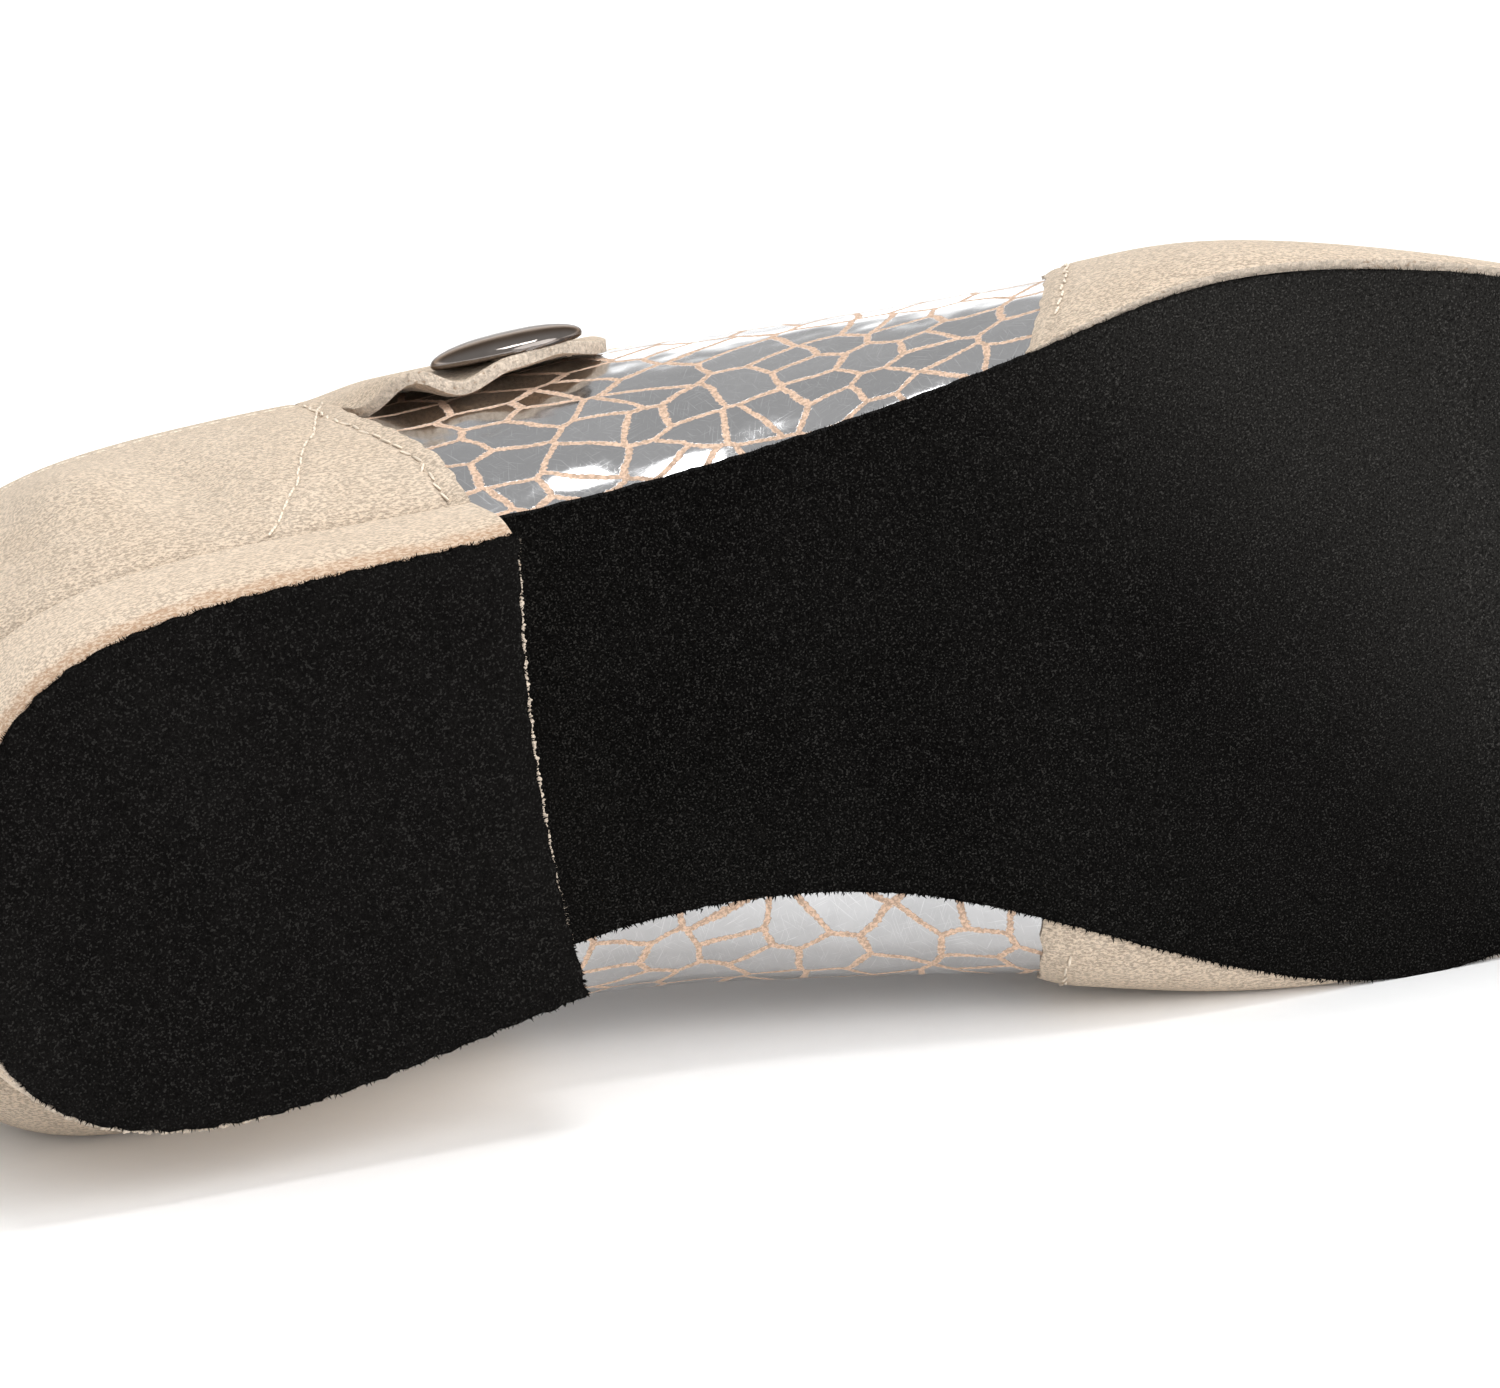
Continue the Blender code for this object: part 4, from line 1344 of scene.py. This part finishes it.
def wall_row(ribs, heights, lift):
    """A row lifted off the wall by a distance in mm: its points and their outward directions."""
    return wall_point(ribs, heights, lift), wall_normal(ribs, heights)


def collar_row(first, last, lift):
    """A row a little under the collar, which ends a little short of two ribs."""
    ribs = np.linspace(first + COLLAR_STITCH_END, last - COLLAR_STITCH_END, COLLAR_ROW_STEPS)
    heights = 1.0 - COLLAR_STITCH_INSET / rib_length(ribs)
    return wall_row(ribs, heights, lift)


class DANCESHOE_OT_stitches(bpy.types.Operator):
    """Sews the rows of stitches: along the panels' edges, the slanted seams and the collar."""

    bl_idname = "dance_shoe.stitches"
    bl_label = "Stitches"

    def execute(self, context):
        heights = np.linspace(*STITCH_HEIGHTS, STITCH_ROW_STEPS)
        rows = []
        for edges in (quarter_edges(heights), vamp_edges(heights)):
            for edge, inset in zip(edges, (EDGE_STITCH_INSET, -EDGE_STITCH_INSET)):
                rows.append(wall_row(rib_beside(edge, inset), heights, PANEL_FACE - EDGE_STITCH_SINK))
        piece = stitch_rows("panel_stitches", rows, STITCH_LENGTH, STITCH_PITCH)
        dress(piece, thread(context), "sand_suede")
        lift = PANEL_FACE - SEAM_STITCH_SINK
        seams = [wall_row(side * seam_rib(heights), heights, lift) for side in (1.0, -1.0)]
        piece = stitch_rows("seam_stitches", seams, SEAM_STITCH_LENGTH, SEAM_STITCH_PITCH)
        dress(piece, thread(context), "sand_suede")
        quarter_end = QUARTER_RIBS[1] + QUARTER_LEAN
        vamp_start = VAMP_RIBS[0] + VAMP_LEAN
        collar = [
            collar_row(QUARTER_RIBS[0], quarter_end, PANEL_FACE - COLLAR_STITCH_SINK),
            collar_row(quarter_end, vamp_start, 0.0),
            collar_row(vamp_start, VAMP_RIBS[1], PANEL_FACE - COLLAR_STITCH_SINK),
            collar_row(VAMP_RIBS[1], RIB_COUNT + QUARTER_RIBS[0], 0.0),
        ]
        piece = stitch_rows("collar_stitches", collar, STITCH_LENGTH, STITCH_PITCH)
        dress(piece, thread(context), "sand_suede")
        return {"FINISHED"}


def breast_hollow(across):
    """How far the breast of the heel is hollowed, from one side to the other."""
    return BREAST_HOLLOW * 4.0 * across * (1.0 - across)


def sole_edge(u):
    """How far the sole's ragged cut edge stands out of the foot line."""
    trimmed = SOLE_TRIM * np.exp(-(((u - SOLE_TRIM_RIB) / SOLE_TRIM_REACH) ** 2))
    place = round_length(u)
    wavy = SOLE_WOBBLE * wobble(place, SOLE_WOBBLE_REACH, 21)
    ragged = SOLE_RAG * wobble(place, SOLE_RAG_REACH, 22)
    return SOLE_EDGE_OUT - trimmed + (wavy + ragged)


class DANCESHOE_OT_outsole(bpy.types.Operator):
    """Models the thin black suede sole with its dyed edge and loose fibres."""

    bl_idname = "dance_shoe.outsole"
    bl_label = "Outsole"

    def execute(self, context):
        breast = HEEL_BREAST + FIT_GAP
        outer_start = rib_at(breast, OUTER_BREAST_RIBS, SOLE_EDGE_OUT)
        inner_start = rib_at(breast, INNER_BREAST_RIBS, SOLE_EDGE_OUT)

        def place(along, across):
            outer_ribs = mix(outer_start, TOE_RIB, along)
            inner_ribs = mix(inner_start, TOE_RIB, along)
            plan = mix(
                foot_line(outer_ribs, sole_edge(outer_ribs)),
                foot_line(inner_ribs, sole_edge(inner_ribs)),
                column(across),
            )
            x = plan[:, 0] - breast_hollow(across) * np.maximum(0.0, 1.0 - along / SOLE_BREAST_FADE)
            y = plan[:, 1]
            dents = SOLE_DENT * wobble(x + 0.7 * y, SOLE_DENT_REACH, 22) * np.sin(math.pi * across)
            return points_of(x, y, sole_height(x) + dents)

        piece = grid_piece("sole_suede", SOLE_COLUMNS, SOLE_ROWS, place)
        merge_corners()
        dyed = material_once(dyed_edge_material, "black_dyed_edge", context.scene.shoe_colours)
        paint(piece, sole_suede(context), dyed)
        thicken(piece, SOLE_EDGE_THICKNESS, 1.0, 0, 1, False)
        round_edges(piece, SOLE_ROUNDING)
        settle(piece, "black_suede", "outsole")
        ribs = np.linspace(outer_start, inner_start, SOLE_EDGE_STEPS)
        plan = foot_line(ribs, sole_edge(ribs))
        tread = sole_height(plan[:, 0])
        outward = raised(foot_normal(ribs), SOLE_FIBRE_DROP)
        edges = [(raised(plan, tread + height), outward) for height in SOLE_FIBRE_HEIGHTS]
        fibres = edge_fibres("sole_edge_fibres", edges, BLACK_FIBRE, BLACK_FIBRE_PITCH, 31)
        dress(fibres, sole_suede(context), "black_suede")
        outward = raised(foot_normal(ribs), 0.0)
        edges = [(raised(plan, tread + height), outward) for height in SOLE_TUFT_HEIGHTS]
        tufts = edge_fibres("sole_edge_tufts", edges, TUFT, TUFT_PITCH, 32, TUFT_RADIUS)
        dress(tufts, sole_suede(context), "black_suede")
        return {"FINISHED"}


def heel_loop(out, flare_share):
    """Plan points of the heel: from the breast round the back, then along the hollow breast."""
    first = rib_at(HEEL_BREAST, OUTER_BREAST_RIBS, out)
    last = rib_at(HEEL_BREAST, INNER_BREAST_RIBS, out) - RIB_COUNT
    plan = foot_line(np.linspace(first, last, LOOP_STEPS), out)
    flare = HEEL_FLARE * flare_share * np.maximum(0.0, plan[:, 0] / HEEL_BREAST) ** 2
    plan[:, 1] += np.copysign(flare, plan[:, 1])
    across = np.linspace(0.0, 1.0, BREAST_STEPS)[1:-1]
    breast = mix(plan[-1], plan[0], column(across))
    breast[:, 0] -= breast_hollow(across)
    return np.concatenate([plan, breast, plan[:1]])


def along_loop(loop, share):
    """Points at shares of the way round a closed loop."""
    lengths = walked(loop)
    return values_at(share * lengths[-1], lengths, loop)


def loop_outward(loop, share):
    """Outward plan directions round a closed loop."""
    step = 0.002
    along = along_loop(loop, (share + step) % 1.0) - along_loop(loop, (share - step) % 1.0)
    along = unit(along)
    return np.stack([-along[:, 1], along[:, 0]], axis=1)


class DANCESHOE_OT_heel(bpy.types.Operator):
    """Models the low heel: its suede cover, the raw edge of the cover and the black top piece."""

    bl_idname = "dance_shoe.heel"
    bl_label = "Heel"

    def execute(self, context):
        self.cover(context)
        self.top_piece(context)
        self.raw_edge(context)
        return {"FINISHED"}

    def cover(self, context):
        loops = {}

        def place(around, up):
            points = np.empty((len(around), 3))
            for share in np.unique(np.round(up, 6)):
                row = np.abs(up - share) < 1e-5
                roll = 1.0 - (1.0 - min(share / HEEL_ROLL_SHARE, 1.0)) ** 2
                swell = (HEEL_COVER_BULGE + HEEL_COVER_ROLL) * roll - HEEL_COVER_ROLL
                loop = loops.setdefault(share, heel_loop(HEEL_EDGE_OUT + swell, 1.0 - share))
                plan = along_loop(loop, 1.0 - around[row])
                top = sole_height(plan[:, 0]) + SOLE_THICKNESS + HEEL_COVER_LIP
                points[row] = raised(plan, mix(TOP_PIECE_THICKNESS, top, share))
            return points

        piece = grid_piece("heel_cover", HEEL_COLUMNS, HEEL_ROWS, place)
        close_ends()
        paint(piece, cover_suede(context))
        round_edges(piece, COVER_ROUNDING)
        settle(piece, "sand_suede", "heel")

    def top_piece(self, context):
        loop = heel_loop(HEEL_EDGE_OUT, 1.0)
        length = walked(loop)[-1]

        def place(around, out):
            edge = along_loop(loop, 1.0 - around)
            ragged = CUT_WOBBLE * wobble(around * length, TOP_PIECE_WOBBLE_REACH, 41)
            edge = edge + column(ragged) * loop_outward(loop, 1.0 - around)
            plan = mix(np.array(TOP_PIECE_MIDDLE), edge, column(out))
            dents = wobble(plan[:, 0] + 0.6 * plan[:, 1], TOP_PIECE_DENT_REACH, 42)
            dents = TOP_PIECE_DENT * np.clip(dents, -1.0, 1.0) * (1.0 - out)
            worn = smooth_step((out - TOP_PIECE_WEAR_START) / (1.0 - TOP_PIECE_WEAR_START))
            return raised(plan, dents + TOP_PIECE_WEAR * worn)

        piece = grid_piece("heel_top_suede", HEEL_COLUMNS, TOP_PIECE_RINGS, place)
        merge_corners()
        paint(piece, heel_suede(context))
        thicken(piece, TOP_PIECE_THICKNESS - FIT_GAP, -1.0)
        round_edges(piece, SOLE_ROUNDING)
        settle(piece, "black_suede", "heel_top_piece")
        shares = np.linspace(0.0, 1.0, TOP_PIECE_EDGE_STEPS)
        plan = along_loop(loop, shares)
        outward = raised(loop_outward(loop, shares), HEEL_FIBRE_DROP)
        edges = [(raised(plan, height), outward) for height in HEEL_FIBRE_HEIGHTS]
        fibres = edge_fibres("heel_edge_fibres", edges, BLACK_FIBRE, BLACK_FIBRE_PITCH, 43)
        dress(fibres, heel_suede(context), "black_suede")
        tufts = edge_fibres("heel_edge_tufts", edges[:2], TUFT, TUFT_PITCH, 44, TUFT_RADIUS)
        dress(tufts, heel_suede(context), "black_suede")

    def raw_edge(self, context):
        """The pale raw edge of the cover, which shows in ragged stretches beside the top piece."""
        loop = heel_loop(HEEL_EDGE_OUT, 1.0)
        length = walked(loop)[-1]
        for name, first, last, seed, start in RAW_STRETCHES:

            def place(along, around):
                share = mix(first, last, along)
                faded_out = smooth_step((along - start) / (1.0 - start))
                fade = smooth_step(along / RAW_FADE_IN) * (1.0 - faded_out)
                ragged = sum(
                    depth * wobble(share * length, reach, seed + step) for depth, reach, step in RAW_BUMPS
                )
                thick = np.maximum(RAW_LEAST, RAW_THICKNESS + ragged) * mix(RAW_FADED, 1.0, fade)
                turn = 2.0 * math.pi * around
                way = loop_outward(loop, share)
                plan = along_loop(loop, share) + way * column(RAW_OUT + thick * np.cos(turn))
                return raised(plan, RAW_HEIGHT + RAW_FLATNESS * thick * np.sin(turn))

            piece = grid_piece(name, RAW_COLUMNS, RAW_SIDES, place)
            close_ends()
            dress(piece, cut_edge(context), "sand_suede")
            shares = np.linspace(first, last, RAW_EDGE_STEPS)
            outward = raised(loop_outward(loop, shares), RAW_FIBRE_DROP)
            edges = [(raised(along_loop(loop, shares), RAW_FIBRE_HEIGHT), outward)]
            fibres = edge_fibres(name + "_fibres", edges, RAW_FIBRE, RAW_FIBRE_PITCH, seed + 10)
            dress(fibres, cut_edge(context), "sand_suede")


class DANCESHOE_OT_insole(bpy.types.Operator):
    """Models the sock inside the shoe, lying over the seat of the upper."""

    bl_idname = "dance_shoe.insole"
    bl_label = "Insole"

    def execute(self, context):
        height = WALL_THICKNESS + FIT_GAP

        def place(along, across):
            outer = foot_line(TOE_RIB * along, -INSOLE_INSET)
            inner = foot_line(mix(float(RIB_COUNT), TOE_RIB, along), -INSOLE_INSET)
            plan = mix(outer, inner, column(across))
            return raised(plan, seat_height(plan[:, 0]) + height)

        piece = grid_piece("insole_sock", SOLE_COLUMNS, SOLE_ROWS, place)
        merge_corners()
        values = ("sock_leather_grain", tuple(context.scene.shoe_colours.lining), 0.55)
        paint(piece, material_once(leather_material, *values), cut_edge(context))
        thicken(piece, INSOLE_THICKNESS, 1.0, 0, 1, False)
        round_edges(piece, INSOLE_ROUNDING)
        settle(piece, "sock_leather", "insole")
        return {"FINISHED"}


def strap_outer_point(up, across):
    """Points on the back of the strap where it lies on the outer side; up is 0 at the tip."""
    flare = mix(STRAP_FLARE, STRAP_SPREAD, smooth_step(up / STRAP_CURL_REACH))
    u = mix(*STRAP_OUTER_RIBS, across) - flare * (1.0 - across) ** 2
    tip = STRAP_TIP_HEIGHT + STRAP_TIP_ROUNDING * np.abs(2.0 * across - 1.0) ** 2.5
    hump = STRAP_HUMP * np.exp(-(((across - STRAP_HUMP_PLACE) / STRAP_HUMP_WIDTH) ** 2))
    curl = STRAP_CURL * smooth_step((across - STRAP_CURL_START) / (STRAP_CURL_FULL - STRAP_CURL_START))
    front = 1.0 - smooth_step((across - STRAP_CURL_END) / (1.0 - STRAP_CURL_END))
    curled = curl * front * (1.0 - smooth_step(up / STRAP_CURL_REACH))
    tip_roll = STRAP_TIP_CURL * smooth_step(across / STRAP_TIP_START)
    rolled = tip_roll * (1.0 - smooth_step(up / STRAP_TIP_REACH)) * front
    pressed = STRAP_PRESS * (1.0 - smooth_step(across / STRAP_PRESS_REACH))
    lift = STRAP_LIFT + hump * (1.0 - smooth_step(up)) + curled + rolled - pressed
    return wall_point(u, mix(tip, 1.0, up), lift)


def strap_point(along, across):
    """Points on the back of the strap: up the outer side, over the instep, down inside."""
    outer_rib = mix(*STRAP_OUTER_RIBS, across)
    inner_rib = mix(*STRAP_INNER_RIBS, across)
    inner_lift = -(WALL_THICKNESS + STRAP_CLEARANCE + STRAP_THICKNESS)
    outside = strap_outer_point(np.clip(along / STRAP_OUTER_SHARE, 0.0, 1.0), across)
    down = np.clip((along - 1.0 + STRAP_TUCK_SHARE) / STRAP_TUCK_SHARE, 0.0, 1.0)
    tucked = wall_point(inner_rib, mix(1.0, STRAP_TUCK_HEIGHT, down), inner_lift)
    arch_share = 1.0 - STRAP_OUTER_SHARE - STRAP_TUCK_SHARE
    t = column(np.clip((along - STRAP_OUTER_SHARE) / arch_share, 0.0, 1.0))
    s = 1.0 - t
    start = strap_outer_point(np.ones_like(across), across)
    end = wall_point(inner_rib, np.ones_like(across), inner_lift)
    start_handle = start + STRAP_ARCH * collar_rise(outer_rib)
    end_handle = end + STRAP_ARCH * collar_rise(inner_rib)
    arch = s**3 * start + 3.0 * s * s * t * start_handle + 3.0 * s * t * t * end_handle + t**3 * end
    points = np.where(along[:, None] < STRAP_OUTER_SHARE, outside, arch)
    return np.where(along[:, None] > 1.0 - STRAP_TUCK_SHARE, tucked, points)


class DANCESHOE_OT_strap(bpy.types.Operator):
    """Models the suede instep strap with its raw edges and brown flesh side."""

    bl_idname = "dance_shoe.strap"
    bl_label = "Strap"

    def execute(self, context):
        look = context.scene.shoe_colours

        def place(along, across):
            return strap_point(along, 1.0 - across)

        piece = grid_piece("strap_band", STRAP_COLUMNS, STRAP_ROWS, place)
        grain = context.scene.shoe_sizes.suede_grain
        values = ("strap_flesh_side", tuple(look.underside), darker(look.underside, 0.6), grain, 0.0004)
        flesh = material_once(suede_material, *values)
        paint(piece, sand_suede(context), flesh, cut_edge(context))
        thicken(piece, STRAP_THICKNESS, 1.0, 1, 2)
        round_edges(piece, STRAP_ROUNDING)
        settle(piece, "sand_suede", "strap")
        return {"FINISHED"}


class DANCESHOE_OT_button(bpy.types.Operator):
    """Models the round metal button, domed and rolled at its rim, on a short shank."""

    bl_idname = "dance_shoe.button"
    bl_label = "Button"

    def execute(self, context):
        radius = BUTTON_DIAMETER / 2.0 * MM
        thickness = BUTTON_DOME * MM
        shank = BUTTON_SHANK / 2.0 * MM
        bpy.ops.object.select_all(action="DESELECT")
        bpy.ops.mesh.primitive_circle_add(vertices=BUTTON_SIDES, radius=shank, fill_type="NGON")
        piece = bpy.context.object
        piece.name = "button_disc"
        piece.data.name = "button_disc"
        drop = BUTTON_SEAT * MM
        bpy.ops.object.mode_set(mode="EDIT")
        bpy.ops.mesh.select_all(action="SELECT")
        at_radius = shank
        at_height = -drop
        rings = [(shank, 0.0)]
        rings += [(share * radius, height * thickness) for share, height in BUTTON_PROFILE]
        bpy.ops.transform.translate(value=(0.0, 0.0, -drop))
        for ring_radius, height in rings:
            bpy.ops.mesh.extrude_region_move(
                TRANSFORM_OT_translate={"value": (0.0, 0.0, height - at_height)}
            )
            scale = ring_radius / at_radius
            bpy.ops.transform.resize(value=(scale, scale, 1.0))
            at_radius = ring_radius
            at_height = height
        bpy.ops.mesh.select_all(action="SELECT")
        bpy.ops.mesh.normals_make_consistent(inside=False)
        bpy.ops.object.mode_set(mode="OBJECT")
        up_share = BUTTON_UP + BUTTON_SPAN * np.array([0.0, 1.0, -1.0, 0.0, 0.0])
        across_share = BUTTON_ACROSS + BUTTON_SPAN * np.array([0.0, 0.0, 0.0, 1.0, -1.0])
        seat, above, below, front, rear = strap_outer_point(up_share, across_share)
        out = Vector(turned(np.cross(front - rear, above - below))).normalized()
        stand = out * (STRAP_THICKNESS + BUTTON_SEAT - BUTTON_PRESS) * MM
        turn = out.to_track_quat("Z", "Y").to_matrix().to_4x4()
        piece.data.transform(Matrix.Translation(Vector(placed(seat)) + stand) @ turn)
        paint(piece, material_once(metal_material, "polished_dark_nickel", context.scene.shoe_colours))
        settle(piece, "dark_nickel", "button")
        return {"FINISHED"}


class DANCESHOE_OT_fibres(bpy.types.Operator):
    """Adds the loose pale fibres along the cut edges of the panels and the strap."""

    bl_idname = "dance_shoe.fibres"
    bl_label = "Suede fibres"

    def execute(self, context):
        heights = np.linspace(PANEL_FIBRE_FOOT, 1.0, PANEL_EDGE_STEPS)
        edges = []
        for panel_edges, skive in ((quarter_edges, 0.0), (vamp_edges, VAMP_SKIVE)):
            lift = PANEL_FACE - skive - PANEL_FIBRE_SINK
            for ribs, way in zip(panel_edges(heights), (-1.0, 1.0)):
                face = wall_point(ribs, heights, lift)
                beside = wall_point(rib_beside(ribs, way), heights, lift)
                edges.append((face, beside - face + PANEL_FIBRE_RISE * wall_normal(ribs, heights)))
        along = np.linspace(*STRAP_FIBRE_SHARES, STRAP_EDGE_STEPS)
        step = 0.01
        for across, inner, way in STRAP_EDGES:
            back = strap_point(along, np.full_like(along, across))
            toward = strap_point(along, np.full_like(along, inner))
            ahead = strap_point(np.clip(along + step, 0.0, 1.0), np.full_like(along, across))
            side = unit(back - toward)
            face = np.cross(side, unit(ahead - back)) * way
            edges.append((back + face * STRAP_THICKNESS * 0.5, side))
        piece = edge_fibres("panel_edge_fibres", edges, SAND_FIBRE, SAND_FIBRE_PITCH, 61)
        dress(piece, cut_edge(context), "sand_suede")
        return {"FINISHED"}


# Stage


def aimed(location):
    """The turn of a lamp at a location that shines on the middle of the floor."""
    return (-Vector(location)).to_track_quat("-Z", "Y").to_euler()


def add_softbox(location, size, power):
    """A soft rectangular lamp."""
    bpy.ops.object.light_add(type="AREA", location=location, rotation=aimed(location))
    lamp = bpy.context.object
    lamp.name = "softbox"
    lamp.data.shape = "RECTANGLE"
    lamp.data.size = size[0]
    lamp.data.size_y = size[1]
    lamp.data.energy = power


def add_fill(location, strength):
    """Broad even light from one side, as from a large pale wall."""
    bpy.ops.object.light_add(type="SUN", location=location, rotation=aimed(location))
    lamp = bpy.context.object
    lamp.name = "fill"
    lamp.data.angle = math.radians(FILL_SPREAD)
    lamp.data.energy = strength


def studio_world():
    """A pale horizon, brighter behind the shoe, under a grey ceiling."""
    world = bpy.data.worlds.new("studio")
    bpy.context.scene.world = world
    world.use_nodes = True
    tree = world.node_tree
    way = add_node(tree, "ShaderNodeTexCoord").outputs["Generated"]
    parts = add_node(tree, "ShaderNodeSeparateXYZ", None, {"Vector": way}).outputs
    ceiling = span(tree, parts["Z"], 0.05, 0.22, 1.6, 0.6)
    behind = span(tree, parts["Y"], 0.45, 0.9, 0.0, 1.0)
    low = span(tree, parts["Z"], 0.10, 0.25, 1.0, 0.0)
    strength = maths(tree, "ADD", ceiling, maths(tree, "MULTIPLY", behind, low))
    tree.links.new(strength, tree.nodes["Background"].inputs["Strength"])
    tree.nodes["Background"].inputs["Color"].default_value = (1.0, 1.0, 1.0, 1.0)


class DANCESHOE_OT_stage(bpy.types.Operator):
    """Sets the pale floor, the soft studio light and the camera."""

    bl_idname = "dance_shoe.stage"
    bl_label = "Stage"

    def execute(self, context):
        look = context.scene.shoe_stage
        bpy.ops.object.select_all(action="DESELECT")
        bpy.ops.mesh.primitive_plane_add(size=FLOOR_SIZE)
        floor = bpy.context.object
        floor.name = "studio_floor"
        material, tree, shader = new_material("pale_paper")
        paper = noise(tree, place_on(tree, "Object"), 0.004, 3.0, 0.6)
        tone = blended(tree, span(tree, paper, 0.3, 0.7), darker(look.floor, 0.985), tuple(look.floor))
        set_sockets(tree, shader, {"Base Color": tone, "Roughness": 0.8, "Specular IOR Level": 0.2})
        paint(floor, material)
        studio_world()
        add_softbox(SOFTBOX_PLACE, SOFTBOX_SIZE, look.softbox)
        add_fill(FILL_PLACE, look.fill)
        self.camera(context, look)
        context.scene.view_settings.view_transform = "Standard"
        return {"FINISHED"}

    def camera(self, context, look):
        turn = look.azimuth
        rise = look.elevation
        back = Vector((math.sin(turn) * math.cos(rise), -math.cos(turn) * math.cos(rise), math.sin(rise)))
        level = Vector((math.cos(turn), math.sin(turn), 0.0))
        above = back.cross(level)
        right = level * math.cos(look.roll) + above * math.sin(look.roll)
        up = above * math.cos(look.roll) - level * math.sin(look.roll)
        middle = Vector(placed(np.array(VIEW_MIDDLE)))
        bpy.ops.object.camera_add()
        camera = bpy.context.object
        camera.name = "photo_camera"
        camera.data.sensor_width = SENSOR_WIDTH
        camera.data.lens = look.lens
        camera.data.clip_start = NEAREST_SEEN
        turned_to = Matrix((right, up, back)).transposed().to_4x4()
        camera.matrix_world = Matrix.Translation(middle + back * look.distance) @ turned_to
        context.scene.camera = camera


class DANCESHOE_PT_panel(bpy.types.Panel):
    """Lists the shoe's pieces, colours and sizes."""

    bl_idname = "DANCESHOE_PT_panel"
    bl_label = "Dance Shoe"
    bl_space_type = "VIEW_3D"
    bl_region_type = "UI"
    bl_category = "Dance Shoe"

    def draw(self, context):
        for operator in OPERATORS:
            self.layout.operator(operator.bl_idname)
        for group in (context.scene.shoe_colours, context.scene.shoe_sizes, context.scene.shoe_stage):
            for name in group.__annotations__:
                self.layout.prop(group, name)


OPERATORS = (
    DANCESHOE_OT_stage,
    DANCESHOE_OT_upper,
    DANCESHOE_OT_quarter,
    DANCESHOE_OT_vamp,
    DANCESHOE_OT_stitches,
    DANCESHOE_OT_outsole,
    DANCESHOE_OT_heel,
    DANCESHOE_OT_insole,
    DANCESHOE_OT_strap,
    DANCESHOE_OT_button,
    DANCESHOE_OT_fibres,
)
GROUPS = {"shoe_colours": ShoeColours, "shoe_sizes": ShoeSizes, "shoe_stage": StageLook}


def register():
    for group in GROUPS.values():
        bpy.utils.register_class(group)
    for operator in OPERATORS:
        bpy.utils.register_class(operator)
    bpy.utils.register_class(DANCESHOE_PT_panel)
    for name, group in GROUPS.items():
        setattr(bpy.types.Scene, name, PointerProperty(type=group))


def unregister():
    for name in GROUPS:
        delattr(bpy.types.Scene, name)
    bpy.utils.unregister_class(DANCESHOE_PT_panel)
    for operator in reversed(OPERATORS):
        bpy.utils.unregister_class(operator)
    for group in reversed(list(GROUPS.values())):
        bpy.utils.unregister_class(group)


def main():
    register()
    bpy.ops.dance_shoe.stage()
    bpy.ops.dance_shoe.upper()
    bpy.ops.dance_shoe.quarter()
    bpy.ops.dance_shoe.vamp()
    bpy.ops.dance_shoe.stitches()
    bpy.ops.dance_shoe.outsole()
    bpy.ops.dance_shoe.heel()
    bpy.ops.dance_shoe.insole()
    bpy.ops.dance_shoe.strap()
    bpy.ops.dance_shoe.button()
    bpy.ops.dance_shoe.fibres()
    bpy.context.view_layer.update()


if __name__ == "__main__":
    main()
